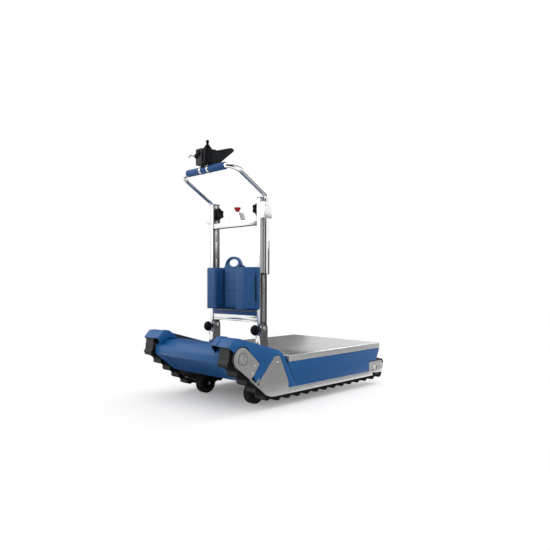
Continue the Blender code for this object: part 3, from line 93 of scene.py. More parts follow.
# %% [markdown]
# ## Shader sums
#
# A finish is easiest to read when its sums look like sums. This class holds one output socket,
# so that `1 - mask` adds a Math node with its links. Every other node comes from `node`, which
# sets what the node is first and what goes into it next.

# %% A socket that can be reckoned with
class Wire:
    """An output socket in a finish's node tree."""

    def __init__(self, tree, socket=None):
        self.tree = tree
        self.socket = socket

    def node(self, kind, settings=None, inputs=None, output=0):
        """Adds a node of any kind, and gives back one of its outputs."""
        made = self.tree.nodes.new(kind)
        for name, value in (settings or {}).items():
            setattr(made, name, value)
        for name, value in (inputs or {}).items():
            if isinstance(value, Wire):
                self.tree.links.new(value.socket, made.inputs[name])
            else:
                made.inputs[name].default_value = value
        return Wire(self.tree, made.outputs[output])

    def maths(self, operation, one, two=0.0):
        return self.node("ShaderNodeMath", {"operation": operation}, {0: one, 1: two})

    def __add__(self, other):
        return self.maths("ADD", self, other)

    def __radd__(self, other):
        return self.maths("ADD", other, self)

    def __sub__(self, other):
        return self.maths("SUBTRACT", self, other)

    def __rsub__(self, other):
        return self.maths("SUBTRACT", other, self)

    def __mul__(self, other):
        return self.maths("MULTIPLY", self, other)

    def __rmul__(self, other):
        return self.maths("MULTIPLY", other, self)

    def between(self, low, high):
        """0 below low and 1 above high."""
        inputs = {"Value": self, "From Min": low, "From Max": high}
        return self.node("ShaderNodeMapRange", {"clamp": True}, inputs)


def mixed(share, one, two):
    """One colour where share is 0, the other where it is 1."""
    return share.node("ShaderNodeMix", {"data_type": "RGBA"}, {0: share, 6: one, 7: two}, output=2)


# %% [markdown]
# ## The stage
#
# The photograph has no visible floor, only the trolley's soft shadow on white. The world is
# white to the camera and in reflections, and dimmer where it only lights. The floor answers
# light near the trolley and fades to plain white further out.

# %% World
AMBIENT = 0.84
scene.view_settings.view_transform = "Standard"
world = bpy.data.worlds.new("white_studio")
scene.world = world
world.use_nodes = True
sky = Wire(world.node_tree)
by_camera, by_gloss, by_glass = (sky.node("ShaderNodeLightPath", output=f"Is {ray} Ray")
                                 for ray in ("Camera", "Glossy", "Transmission"))
seen = (by_camera + by_gloss + by_glass).between(0, 1)
background = world.node_tree.nodes["Background"]
background.inputs["Color"].default_value = (1, 1, 1, 1)
world.node_tree.links.new((seen * (1 - AMBIENT) + AMBIENT).socket, background.inputs["Strength"])
print("the world lights at", AMBIENT)

# %% Materials and flat sheets for the stage
def principled(name, constants):
    """A Principled material with the values that are the same all over, its node tree and its shader."""
    material = bpy.data.materials.new(name)
    material.use_nodes = True
    shader = material.node_tree.nodes["Principled BSDF"]
    for socket, value in constants.items():
        shader.inputs[socket].default_value = value
    return material, material.node_tree, shader


def stage_sheet(name, corners, material):
    """One face between four corners, which isn't part of the trolley."""
    mesh = bpy.data.meshes.new(name)
    mesh.from_pydata(corners, [], [(0, 1, 2, 3)])
    mesh.materials.append(material)
    sheet = bpy.data.objects.new(name, mesh)
    scene.collection.objects.link(sheet)
    return sheet


def level(low, high, height):
    """Corners of a level rectangle between two corners."""
    return [(low[0], low[1], height), (high[0], low[1], height), (*high, height), (low[0], high[1], height)]


# %% Floor
FLOOR_HALF = 9.0
FADE_START, FADE_END, FADE_LEAST = 0.1, 1.5, 0.08
FLOOR_SHADE, BOUNCE_SHADE = 0.94, 0.36


def shadow_floor():
    """A pale floor that keeps the shadow near the trolley and turns plain white far from it.

    To the rays that only carry light it is darker, so it doesn't light the trolley from below."""
    material, tree, shader = principled("pale_floor", {"Roughness": 0.9, "Specular IOR Level": 0.0})
    start = Wire(tree)
    bounces = start.node("ShaderNodeLightPath", output="Is Diffuse Ray")
    pale, dim = (FLOOR_SHADE,) * 3 + (1,), (BOUNCE_SHADE,) * 3 + (1,)
    tree.links.new(mixed(bounces, pale, dim).socket, shader.inputs["Base Color"])
    place = start.node("ShaderNodeTexCoord", output="Object")
    reach = start.node("ShaderNodeVectorMath", {"operation": "LENGTH"}, {0: place}, output="Value")
    far = (reach.between(FADE_START, FADE_END) * (1 - FADE_LEAST) + FADE_LEAST) * (1 - bounces)
    white = start.node("ShaderNodeEmission", None, {"Color": (1, 1, 1, 1), "Strength": 1.0})
    faded = start.node("ShaderNodeMixShader", None, {0: far, 1: Wire(tree, shader.outputs[0]), 2: white})
    tree.links.new(faded.socket, tree.nodes["Material Output"].inputs["Surface"])
    return material


stage_sheet("floor", level((-FLOOR_HALF, -FLOOR_HALF), (FLOOR_HALF, FLOOR_HALF), 0), shadow_floor())
print("the floor fades from", FADE_START, "to", FADE_END, "m")

# %% Lamps
TARGET = Vector((0, 0, 0.45))


def softbox(name, place, size, power):
    """A square lamp that faces the trolley."""
    data = bpy.data.lights.new(name, "AREA")
    data.shape = "SQUARE"
    data.size = size
    data.energy = power
    lamp = bpy.data.objects.new(name, data)
    scene.collection.objects.link(lamp)
    lamp.location = place
    lamp.rotation_euler = (TARGET - Vector(place)).to_track_quat("-Z", "Y").to_euler()
    return lamp


softbox("key_front_left", (-1.6, -2.3, 2.0), 2.0, 22)
softbox("rim_rear", (0.6, 2.3, 2.3), 1.4, 30)
softbox("top_soft", (0.2, -0.3, 3.2), 2.4, 10)
softbox("side_fill", (3.0, 0.4, 0.8), 2.0, 20).visible_glossy = False
print("four softboxes")

# %% [markdown]
# A photographer stands black and grey cards round chrome, so that a round tube shows a dark line
# where plain white all round would leave no form. Here they appear in reflections only.

# %% Dark cards
BLACK, SIDE_GREY = 0.01, 0.4


def standing(start, end, low, high):
    """Corners of a card that stands over a line on the floor."""
    return [(*start, low), (*end, low), (*end, high), (*start, high)]


CARDS = (("card_by_camera", BLACK, standing((-0.75, -1.8), (1.0, -1.8), 0.25, 1.9)),
         ("card_behind_legs", BLACK, standing((-0.1, 0.15), (0.6, 0.15), 0.42, 0.78)),
         ("card_beside_deck", 0.12, standing((-0.9, -0.3), (-0.9, 1.3), 0, 1.1)),
         ("card_far_right", 0.25, standing((3.0, -0.4), (1.0, 3.0), 0, 0.84)),
         ("card_overhead", BLACK, level((0.6, -2.0), (1.5, 2.0), 2.3)),
         ("card_right_floor", SIDE_GREY, level((0.42, -0.9), (2.9, 2.9), 0.002)),
         ("card_under_drum", 0.05, level((-0.9, -0.52), (0.1, -0.1), 0.002)))
for name, tone, corners in CARDS:
    glow = {"Base Color": (0, 0, 0, 1), "Specular IOR Level": 0.0,
            "Emission Color": (1, 1, 1, 1), "Emission Strength": tone}
    card = stage_sheet(name, corners, principled(name, glow)[0])
    for ray in ("camera", "diffuse", "transmission", "volume_scatter", "shadow"):
        setattr(card, f"visible_{ray}", False)
print(len(CARDS), "cards")

# %% [markdown]
# ## Finishes
#
# Each finish starts from what it is: powder paint has orange peel, rolled zinc has faint
# spangle, extruded aluminium keeps lines from its die, moulded rubber is matt and dusty. Some
# finishes also carry painted light and shade, a tone that follows the way a face turns. All
# patterns are measured in metres on the piece itself, so they stay on it when it moves.

# %% Patterns in metres
def spot(start):
    """The place on the piece, in metres."""
    return start.node("ShaderNodeTexCoord", output="Object")


def grain(start, size, detail=2.0, stretch=(1, 1, 1)):
    """Soft noise, with features about size metres across, drawn out along an axis of small stretch."""
    place = start.node("ShaderNodeMapping", None, {"Vector": spot(start), "Scale": stretch})
    return start.node("ShaderNodeTexNoise", None,
                      {"Vector": place, "Scale": 1 / size, "Detail": detail, "Roughness": 0.55})


def relief(start, height, depth, strength=0.5):
    """Turns a height between 0 and 1 into a normal, depth metres from low to high."""
    return start.node("ShaderNodeBump", None, {"Height": height, "Distance": depth, "Strength": strength},
                      output="Normal")


def shade(colour, share=1.0):
    """The same colour, lighter or darker."""
    return (colour[0] * share, colour[1] * share, colour[2] * share, 1)


def wavering(noise, colour, swing):
    """A colour that goes a share darker and lighter with a noise."""
    return mixed(noise.between(0.3, 0.7), shade(colour, 1 - swing), shade(colour, 1 + swing))


def facing(start, axis, low, high):
    """1 where the surface faces along an axis of the piece, either way."""
    normal = start.node("ShaderNodeTexCoord", output="Normal")
    part = start.node("ShaderNodeSeparateXYZ", None, {"Vector": normal}, output=axis)
    return start.maths("ABSOLUTE", part).between(low, high)


# %% The finish maker
FINISHES = {}


def finish(name, slot, constants, details):
    """A Principled material: values that are the same all over, then what changes over the surface."""
    material, tree, shader = principled(name, constants)
    for socket, wire in details(Wire(tree)).items():
        tree.links.new(wire.socket, shader.inputs[socket])
    FINISHES[name] = (material, slot)


# %% Painted sheet and moulded shells
PAINT_BLUE, SHELL_BLUE = (0.003, 0.09, 0.282), (0.004, 0.072, 0.222)


def powder_paint(start):
    """Orange peel of about 2 mm, with slow clouds in its colour and gloss."""
    cloud = grain(start, 0.11, 3.0)
    return {"Base Color": wavering(cloud, PAINT_BLUE, 0.07),
            "Roughness": 0.36 + 0.1 * cloud,
            "Normal": relief(start, grain(start, 0.0022, 1.0), 0.00012)}


def moulded_shell(start):
    """Spark-eroded plastic: a fine even grain."""
    fine = grain(start, 0.0009)
    return {"Base Color": wavering(grain(start, 0.07), SHELL_BLUE, 0.06),
            "Roughness": 0.46 + 0.1 * fine,
            "Normal": relief(start, fine, 0.0001, 0.6)}


finish("blue_paint", "blue_paint", {"Specular IOR Level": 0.42}, powder_paint)
finish("battery_shell", "battery_shell", {"Specular IOR Level": 0.44}, moulded_shell)

# %% Kinds of metal
def spangled(colour, low, high):
    """Rolled zinc: pale crystals a few millimetres across, under fine rolling marks."""
    def details(start):
        crystal = start.node("ShaderNodeTexVoronoi", None, {"Vector": spot(start), "Scale": 160.0}, "Color")
        flake = start.node("ShaderNodeSeparateColor", None, {"Color": crystal})
        rolled = grain(start, 0.004, 3.0, (0.05, 1, 1))
        return {"Base Color": mixed(flake, shade(colour, 0.95), shade(colour, 1.05)),
                "Roughness": low + (high - low) * rolled,
                "Normal": relief(start, rolled, 0.00003, 0.4)}
    return details


def lined(colour, stretch, low, high, size=0.0016, swing=0.06):
    """Brushed or drawn metal, with fine lines along one axis."""
    def details(start):
        lines = grain(start, size, 4.0, stretch)
        return {"Base Color": wavering(lines, colour, swing),
                "Roughness": low + (high - low) * grain(start, 0.09),
                "Normal": relief(start, lines, 0.00002)}
    return details


def shaded_by_facing(sideways, frontal, stretch, low, high):
    """Drawn metal with painted light and shade: one tone where it faces sideways, another where it faces
    front or up.
    """
    def details(start):
        lines = grain(start, 0.0016, 4.0, stretch)
        facing_shade_share = facing(start, "X", 0.55, 0.85)
        dark = mixed(facing_shade_share, shade(frontal, 0.95), shade(sideways, 0.95))
        pale = mixed(facing_shade_share, shade(frontal, 1.05), shade(sideways, 1.05))
        return {"Base Color": mixed(lines.between(0.3, 0.7), dark, pale),
                "Roughness": low + (high - low) * grain(start, 0.09),
                "Normal": relief(start, lines, 0.00002)}
    return details


def plated(start):
    """Chrome plate: nearly a mirror, with the faintest waviness of the tube under it."""
    cloud = grain(start, 0.09)
    return {"Base Color": mixed(cloud, (0.88, 0.885, 0.895, 1), (0.92, 0.925, 0.935, 1)),
            "Roughness": 0.03 + 0.03 * cloud,
            "Normal": relief(start, grain(start, 0.05, 0.0, (1, 1, 0.3)), 0.00004, 0.3)}


# %% Metals
ALONG_X, ALONG_Y, ALONG_Z = (0.02, 1, 1), (1, 0.02, 1), (1, 1, 0.02)
for name, slot, details in (
        ("zinc_sheet", "zinc_steel", spangled((0.58, 0.579, 0.575), 0.34, 0.46)),
        # The rear plates' zinc is a brighter copy of the zinc sheet: painted light.
        ("tensioner_steel", "zinc_steel", spangled((0.9, 0.899, 0.895), 0.26, 0.34)),
        ("frame_steel", "frame_steel", spangled((0.135, 0.135, 0.136), 0.4, 0.52)),
        # The deck, the foot brackets and the uprights get painted light and shade: their tone depends on the
        # way each face turns.
        ("deck_sheet", "deck_sheet", shaded_by_facing((0.82,) * 3, (0.54,) * 3, (1, 0.03, 1), 0.34, 0.42)),
        ("bracket_steel", "zinc_steel", shaded_by_facing((0.33, 0.33, 0.332), (0.85,) * 3, ALONG_Z, 0.1, 0.16)),
        ("profile_dark", "aluminium", shaded_by_facing((0.15, 0.15, 0.152), (0.92,) * 3, ALONG_Z, 0.3, 0.38)),
        ("profile_bright", "aluminium", lined((0.64,) * 3, ALONG_Z, 0.28, 0.36)),
        ("rail_metal", "aluminium", lined((0.84, 0.84, 0.835), ALONG_Y, 0.26, 0.34)),
        ("cross_metal", "aluminium", lined((0.88,) * 3, ALONG_X, 0.18, 0.26, swing=0.02)),
        ("chrome", "chrome_tube", plated),
        ("slide_metal", "chrome_tube", lined((0.7,) * 3, ALONG_Z, 0.56, 0.64)),
        ("fastener_steel", "zinc_steel", lined((0.78, 0.78, 0.775), (1, 1, 1), 0.22, 0.3, 0.002))):
    finish(name, slot, {"Metallic": 1.0}, details)

# %% Kinds of rubber and plastic
# The second colour is the black of painted shade, on the belt's sides and underside.
TREAD, BELT_SHADE_BLACK = (0.06, 0.061, 0.063), (0.0065, 0.0075, 0.009)
TYRE, TYRE_DUST = (0.02, 0.0208, 0.022), (0.032, 0.032, 0.033)


def tread_rubber(start):
    """Moulded belt rubber, grey with dust on what faces out or up, with painted shade: black on its sides and
    underneath.
    """
    normal = start.node("ShaderNodeTexCoord", output="Normal")
    upward = start.node("ShaderNodeSeparateXYZ", None, {"Vector": normal}, output="Z")
    # Painted shade: black where the belt faces sideways or down.
    painted_shade_share = (facing(start, "X", 0.25, 0.6) + (0 - upward).between(0.35, 0.7)).between(0, 1)
    fine = grain(start, 0.0012, 3.0)
    scuff = grain(start, 0.018, 4.0).between(0.3, 0.75)
    tread = mixed(scuff, shade(TREAD, 0.8), shade(TREAD, 1.2))
    return {"Base Color": mixed(painted_shade_share, tread, shade(BELT_SHADE_BLACK)),
            "Roughness": 0.62 + 0.18 * fine,
            "Normal": relief(start, fine, 0.00015, 0.6)}


def tyre_rubber(start):
    """Moulded rubber: matt, with a dusty bloom in soft patches."""
    fine = grain(start, 0.001, 3.0)
    bloom = grain(start, 0.035, 4.0).between(0.45, 0.75)
    return {"Base Color": mixed(bloom * 0.5, shade(TYRE), shade(TYRE_DUST)),
            "Roughness": 0.5 + 0.16 * fine,
            "Normal": relief(start, fine, 0.00015, 0.6)}


def moulded(colour, size, low, high, depth=0.00006):
    """Plastic from a textured mould."""
    def details(start):
        cloud = grain(start, 0.03)
        return {"Base Color": wavering(cloud, colour, 0.08),
                "Roughness": low + (high - low) * cloud,
                "Normal": relief(start, grain(start, size), depth)}
    return details


# %% Rubbers and plastics
for name, slot, gloss, details in (
        ("track_rubber", "track_rubber", 0.08, tread_rubber),
        ("tyre_rubber", "wheel_rubber", 0.08, tyre_rubber),
        ("grip_rubber", "grip_rubber", 0.25, moulded((0.012, 0.078, 0.235), 0.0011, 0.42, 0.54, 0.00008)),
        ("black_plastic", "black_plastic", 0.08, moulded((0.005, 0.006, 0.0075), 0.001, 0.4, 0.5, 0.00002)),
        ("grey_plastic", "grey_plastic", 0.2, moulded((0.04, 0.042, 0.045), 0.0008, 0.44, 0.56)),
        ("shell_shadow", "battery_shell", 0.2, moulded((0.003, 0.024, 0.075), 0.001, 0.5, 0.6)),
        ("red_plastic", "red_plastic", 0.35, moulded((0.4, 0.008, 0.012), 0.002, 0.26, 0.36)),
        ("white_plastic", "grey_plastic", 0.4, moulded((0.7, 0.7, 0.69), 0.001, 0.4, 0.5)),
        ("panel_grey", "grey_plastic", 0.2, moulded((0.42, 0.42, 0.425), 0.001, 0.5, 0.6)),
        ("cap_blue", "blue_paint", 0.3, moulded((0.012, 0.1, 0.3), 0.001, 0.36, 0.46)),
        ("motor_casting", "motor_casting", 0.3, moulded((0.03, 0.032, 0.035), 0.0016, 0.5, 0.66, 0.0002))):
    finish(name, slot, {"Specular IOR Level": gloss}, details)
print(len(FINISHES), "finishes")

# %% [markdown]
# ## Outlines
#
# Most of the trolley is cut and folded sheet, so most pieces start as an outline: corners with a
# radius, arcs round an axle, or a chain of folds. Long lists of corners are in millimetres.

# %% Outline tools
def mm(*points):
    """Points given in millimetres."""
    return [Vector((x / 1000, y / 1000)) for x, y in points]


def arc(centre, radius, start, end, steps):
    """Points on a circle from one angle to another, in degrees."""
    angles = [math.radians(start + (end - start) * i / steps) for i in range(steps + 1)]
    return [Vector(centre) + radius * Vector((math.cos(a), math.sin(a))) for a in angles]


def rounded(points, radius, steps=6, closed=True):
    """A chain of points with each corner turned into an arc. radius is a number, or one for each corner."""
    points = [Vector(point) for point in points]
    count = len(points)
    radii = [radius] * count if isinstance(radius, (int, float)) else list(radius)
    made = []
    for i, (corner, bend) in enumerate(zip(points, radii)):
        if not bend or (not closed and i in (0, count - 1)):
            made.append(corner)
            continue
        back = (points[i - 1] - corner).normalized()
        ahead = (points[(i + 1) % count] - corner).normalized()
        half = back.angle(ahead) / 2
        centre = corner + (back + ahead).normalized() * bend / math.sin(half)
        first = corner + back * bend / math.tan(half) - centre
        last = corner + ahead * bend / math.tan(half) - centre
        whole = first.angle(last)
        for step in range(steps + 1):
            near = math.sin((1 - step / steps) * whole)
            far = math.sin(step / steps * whole)
            made.append(centre + (first * near + last * far) / math.sin(whole))
    return made


def oblong(low, high, radius, steps=5):
    """A rectangle with rounded corners."""
    return rounded([low, (high[0], low[1]), high, (low[0], high[1])], radius, steps)


def offset_line(points, distance):
    """A chain of points moved to its right, with mitred corners."""
    moved = []
    for i, corner in enumerate(points):
        back = corner - points[i - 1] if i else points[1] - points[0]
        ahead = points[i + 1] - corner if i + 1 < len(points) else back
        back, ahead = back.normalized(), ahead.normalized()
        normal = Vector((back.y + ahead.y, -back.x - ahead.x))
        moved.append(corner + normal * 2 * distance / normal.length_squared)
    return moved


# %% [markdown]
# ## Forms
#
# A form is a mesh in the trolley's own metres. There are four kinds of making here: a plate is an
# outline with thickness and eased edges, a turned form is a profile spun on its axis, a swept form
# is a bar along a route, and an eased form is a CAD solid whose sharp edges get a small radius.

# %% Plates and sweeps
PLANES = {"side": Matrix(((0, 0, 1, 0), (1, 0, 0, 0), (0, 1, 0, 0), (0, 0, 0, 1))),    # outline (Y, Z)
          "front": Matrix(((1, 0, 0, 0), (0, 0, -1, 0), (0, 1, 0, 0), (0, 0, 0, 1))),  # outline (X, Z)
          "top": Matrix()}                                                             # outline (X, Y)
NORMALS = {"side": Vector((1, 0, 0)), "front": Vector((0, 1, 0)), "top": Vector((0, 0, 1))}


def meshed(form):
    """The mesh of a bmesh form."""
    mesh = bpy.data.meshes.new("form")
    form.to_mesh(mesh)
    form.free()
    return mesh


def evaluated(obj):
    """The mesh of an object after its modifiers or its curve's bevel."""
    bpy.context.view_layer.update()
    return bpy.data.meshes.new_from_object(obj.evaluated_get(bpy.context.evaluated_depsgraph_get()))


def from_curve(curve, lines, place, closed=True):
    """The mesh of a curve through lines of points, welded and moved to its place."""
    for line in lines:
        spline = curve.splines.new("POLY")
        spline.points.add(len(line) - 1)
        for point, corner in zip(spline.points, line):
            point.co = (*corner, 1) if len(corner) == 3 else (*corner, 0, 1)
        spline.use_cyclic_u = closed
    obj = bpy.data.objects.new(curve.name, curve)
    scene.collection.objects.link(obj)
    form = bmesh.new()
    form.from_mesh(evaluated(obj))
    bpy.data.objects.remove(obj)
    bmesh.ops.remove_doubles(form, verts=form.verts, dist=1e-6)
    bmesh.ops.recalc_face_normals(form, faces=form.faces)
    bmesh.ops.transform(form, matrix=place, verts=form.verts)
    return meshed(form)


def plate(outlines, plane, low, high, edge=0.0005, steps=2):
    """Flat outlines, holes among them, from low to high along their normal, with rounded edges."""
    low, high = sorted((low, high))
    curve = bpy.data.curves.new("plate", "CURVE")
    curve.dimensions = "2D"
    curve.fill_mode = "BOTH"
    curve.extrude = (high - low) / 2 - edge
    curve.bevel_depth = edge
    curve.bevel_resolution = steps - 1
    curve.offset = -edge
    return from_curve(curve, outlines, Matrix.Translation(NORMALS[plane] * (low + high) / 2) @ PLANES[plane])


def sweep(route, radius, steps=5):
    """A round bar along a route of points."""
    curve = bpy.data.curves.new("sweep", "CURVE")
    curve.dimensions = "3D"
    curve.bevel_depth = radius
    curve.bevel_resolution = steps
    curve.use_fill_caps = True
    return from_curve(curve, [route], Matrix(), closed=False)


# %% Turned forms
AXES = {"x": Matrix.Rotation(math.pi / 2, 4, "Y"), "-x": Matrix.Rotation(-math.pi / 2, 4, "Y"),
        "-y": Matrix.Rotation(math.pi / 2, 4, "X"), "y": Matrix.Rotation(-math.pi / 2, 4, "X"), "z": Matrix()}


def outward(side):
    return "x" if side > 0 else "-x"


def inward(side):
    return outward(-side)


def turned(profile, axis, centre, steps=40, lobes=0, depths=None):
    """Spins a profile of (radius, height). Lobes wave the radius, by each point's own depth."""
    form = bmesh.new()
    place = Matrix.Translation(centre) @ AXES[axis]
    rings = []
    for index, (radius, height) in enumerate(profile):
        if radius == 0:
            rings.append([form.verts.new(place @ Vector((0, 0, height)))])
            continue
        ring = []
        for step in range(steps):
            angle = math.tau * step / steps
            wave = depths[index] * (1 - math.cos(lobes * angle)) / 2 if depths else 0
            spoke = radius * (1 - wave)
            point = Vector((spoke * math.cos(angle), spoke * math.sin(angle), height))
            ring.append(form.verts.new(place @ point))
        rings.append(ring)
    pairs = list(zip(rings, rings[1:]))
    if profile[0][0] > 0 and profile[-1][0] > 0:
        pairs.append((rings[-1], rings[0]))
    for first, second in pairs:
        if len(first) == 1 and len(second) == 1:
            continue
        for step in range(steps):
            after = (step + 1) % steps
            corners = [first[step % len(first)], first[after % len(first)],
                       second[after % len(second)], second[step % len(second)]]
            form.faces.new(list(dict.fromkeys(corners)))
    bmesh.ops.recalc_face_normals(form, faces=form.faces)
    return meshed(form)


def mirrored(half, middle=()):
    """A profile that is the same on both sides of its middle."""
    return [*half, *middle, *((radius, -height) for radius, height in reversed(half))]


# %% Eased forms
def ease_edges(form, width, steps, angle):
    """Rounds each edge of a bmesh form that is sharper than the angle, in degrees."""
    limit = math.radians(angle)
    edges = [edge for edge in form.edges if len(edge.link_faces) == 2 and edge.calc_face_angle() > limit]
    bmesh.ops.bevel(form, geom=edges, offset=width, segments=steps, profile=0.5, affect="EDGES",
                    clamp_overlap=True)


def block(low, high, edge=0.0008, steps=2):
    """A block between two corners, with rounded edges."""
    low, high = Vector(map(min, low, high)), Vector(map(max, low, high))
    form = bmesh.new()
    bmesh.ops.create_cube(form, size=1.0)
    bmesh.ops.scale(form, vec=high - low, verts=form.verts)
    bmesh.ops.translate(form, vec=(low + high) / 2, verts=form.verts)
    ease_edges(form, edge, steps, 20)
    return meshed(form)


def softened(solid, width=0.0006, steps=2, angle=28):
    """A closed mesh with its flats made whole again and its edges rounded."""
    form = bmesh.new()
    form.from_mesh(solid)
    bmesh.ops.remove_doubles(form, verts=form.verts, dist=1e-6)
    bmesh.ops.dissolve_limit(form, angle_limit=math.radians(0.5), verts=form.verts, edges=form.edges)
    ease_edges(form, width, steps, angle)
    return meshed(form)


def carved(mesh, cutter, operation="DIFFERENCE"):
    """Cuts one closed form out of another, or keeps only what they share."""
    body = bpy.data.objects.new("carved", mesh)
    tool = bpy.data.objects.new("cutter", cutter)
    for obj in (body, tool):
        scene.collection.objects.link(obj)
    step = body.modifiers.new("cut", "BOOLEAN")
    step.operation = operation
    step.object = tool
    step.solver = "MANIFOLD"
    result = evaluated(body)
    for obj in (body, tool):
        bpy.data.objects.remove(obj)
    return result


# %% [markdown]
# ## Pieces
#
# A piece is one mesh with one finish that rides on one body of the frame. Most come in pairs, so
# `pair` makes the right one and the left one from a function of the side, 1 or -1. `refined`
# keeps the shape of a CAD solid, and gives it rounded edges and a finish.


def piece(name, forms, finish_name, body, replaces=(), crease=32):
    """Joins forms into one piece with one finish, which rides on a body and may stand for CAD nodes."""
    joined = bmesh.new()
    for form in forms if isinstance(forms, list) else [forms]:
        joined.from_mesh(form)
    mesh = meshed(joined)
    mesh.name = name
    obj = bpy.data.objects.new(name, mesh)
    scene.collection.objects.link(obj)
    material, slot = FINISHES[finish_name]
    mesh.materials.append(material)
    mesh.shade_smooth()
    mesh.set_sharp_from_angle(angle=math.radians(crease))
    mesh.polygons.foreach_set("material_index", [0] * len(mesh.polygons))
    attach(obj, body)
    if replaces:
        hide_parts(*replaces)
    print(name, len(mesh.polygons), "faces")


def sided(name, tag):
    """A body's own name, or its name on one side."""
    return name if name in frame["bodies"] else name + tag


def pair(name, make, finish_name, body, node=None, crease=32):
    """A piece on each side, in place of the node of that side."""
    for side, letter in SIDES:
        tag = "_" + letter
        piece(name + tag, make(side), finish_name, sided(body, tag), [node + tag] if node else [], crease)


def refined(name, node, finish_name, body, width=0.0006, steps=2, angle=28, crease=32):
    """A CAD solid with rounded edges, or the pair of them."""
    for tag in [""] if node in frame["nodes"] else ["_" + letter for _, letter in SIDES]:
        form = softened(frame["nodes"][node + tag].data, width, steps, angle)
        piece(name + tag, form, finish_name, sided(body, tag), [node + tag], crease)


# %% [markdown]
# ## Fasteners
#
# Screws and bolts are what the eye looks for on a machine. A hexagon bolt is a chamfered
# six-sided head on a washer, and a button screw is a low dome with a socket in it.

# %% Bolts and screws
def hex_bolt(centre, axis, across, height, washer=True):
    """A hexagon head with a washer, seated on the plane through its centre."""
    corner = across / math.sqrt(3)
    thick = 0.001 if washer else 0.0
    head = [(0, height + thick), (corner * 0.84, height + thick), (corner, height * 0.8 + thick),
            (corner, thick), (0, thick)]
    forms = [turned(head, axis, centre, 6)]
    if washer:
        ring = [(0, thick), (corner * 1.22, thick), (corner * 1.28, thick * 0.6), (corner * 1.28, 0), (0, 0)]
        forms.append(turned(ring, axis, centre, 28))
    return forms


def button_screw(centre, axis, radius, height):
    """A low domed head with a round socket."""
    dome = [(0, height * 0.45), (radius * 0.34, height * 0.45), (radius * 0.36, height)]
    angles = [math.radians(65 - 13 * i) for i in range(6)]
    dome += [(radius * math.cos(a), height * math.sin(a)) for a in angles]
    return turned(dome + [(0, 0)], axis, centre, 24)


# %% [markdown]
# ## The tracks
#
# Each belt is a closed loop of moulded rubber. It runs round the drive pulley, the large bend at
# the bottom front and the rear roller, and a press roller holds its top run down behind the
# pulley. The lugs are saw teeth with a gentle face and a steep one. The belt is drawn as one
# skin: a cross-section that travels along the loop and rises wherever the unrolled profile says.

# %% The rollers in the side view
PULLEY, PULLEY_RADIUS = Vector((-0.4925, 0.238)), 0.05
PRESS, PRESS_RADIUS = Vector((-0.2825, 0.203)), 0.022
REAR, REAR_RADIUS = Vector((0.5053, 0.094)), 0.041
BED_Z, BEND_RADIUS, SLOPE = 0.053, 0.108, math.radians(37.6)
BELT_THICKNESS, LUG_HEIGHT, LUG_PITCH = 0.008, 0.014, 0.0658
SKIN_X, PLATE_X, BELT_X, INNER_X = 0.3165, 0.3135, (0.246, 0.312), (0.2405, 0.2445)
RISE = BED_Z + BEND_RADIUS - PULLEY.y
RUN = (BEND_RADIUS - PULLEY_RADIUS - RISE * math.cos(SLOPE)) / math.sin(SLOPE)
BEND = Vector((PULLEY.x + RUN, BED_Z + BEND_RADIUS))
NOSE = PULLEY + Vector((-0.012, 0.0093))
TURNS = [(REAR, REAR_RADIUS), (PRESS, -(PRESS_RADIUS + BELT_THICKNESS + LUG_HEIGHT)),
         (NOSE, PULLEY_RADIUS), (BEND, BEND_RADIUS)]


def travel_angle(first, second):
    """The direction of the straight run of belt between two rollers."""
    (start, start_radius), (end, end_radius) = first, second
    way = end - start
    return math.atan2(way.y, way.x) + math.asin((start_radius - end_radius) / way.length)


def on_roller(centre, radius, angle):
    """The point where belt that travels at an angle touches a roller, and the way out of the loop."""
    out = Vector((math.sin(angle), -math.cos(angle)))
    return centre + out * radius, out


def loop_stations():
    """The inner line of the belt as (length, place) for each arc and each straight run."""
    angles = [travel_angle(TURNS[i], TURNS[(i + 1) % 4]) for i in range(4)]
    stations = []
    for i, (centre, radius) in enumerate(TURNS):
        arrive, leave = angles[i - 1], angles[i]
        turn = (leave - arrive) % math.tau if radius > 0 else -((arrive - leave) % math.tau)
        stations.append((turn * radius, lambda s, c=centre, r=radius, a=arrive: on_roller(c, r, a + s / r)))
        start, out = on_roller(centre, radius, leave)
        run = on_roller(*TURNS[(i + 1) % 4], leave)[0] - start
        stations.append((run.length, lambda s, b=start, way=run.normalized(), o=out: (b + way * s, o)))
    return stations


LOOP = loop_stations()
LOOP_LENGTH = sum(length for length, _ in LOOP)
LUG_COUNT = round(LOOP_LENGTH / LUG_PITCH)
PITCH = LOOP_LENGTH / LUG_COUNT
print(f"belt loop {LOOP_LENGTH:.3f} m with {LUG_COUNT} lugs")


def on_loop(distance):
    distance %= LOOP_LENGTH
    for length, place in LOOP:
        if distance <= length:
            return place(distance)
        distance -= length
    return LOOP[0][1](0)


# %% The lugged belts
LUG_RISE, LUG_CREST, LUG_FALL = 0.011, 0.012, 0.02
FIRST_LUG = 0.002
BELT_EDGE = ((1.0, 0.12, 0.0012), (0.985, 0.05, 0.0004), (0.95, 0, 0), (0.86, 0, 0), (0.3, 0, 0))


def lug_profile():
    """One pitch of the unrolled outer line, as (distance, height) with moulded radii."""
    crest, fall = LUG_RISE + LUG_CREST, LUG_RISE + LUG_CREST + LUG_FALL
    corners = [(0, 0), (0.001, 0), (LUG_RISE, LUG_HEIGHT), (crest, LUG_HEIGHT), (fall, 0), (PITCH, 0)]
    line = rounded(corners, [0, 0.001, 0.0014, 0.0016, 0.0025, 0], 3, closed=False)
    rest = fall + 0.004
    return line[:-1] + [Vector((rest + (PITCH - rest) * i / 5, 0)) for i in range(1, 5)]


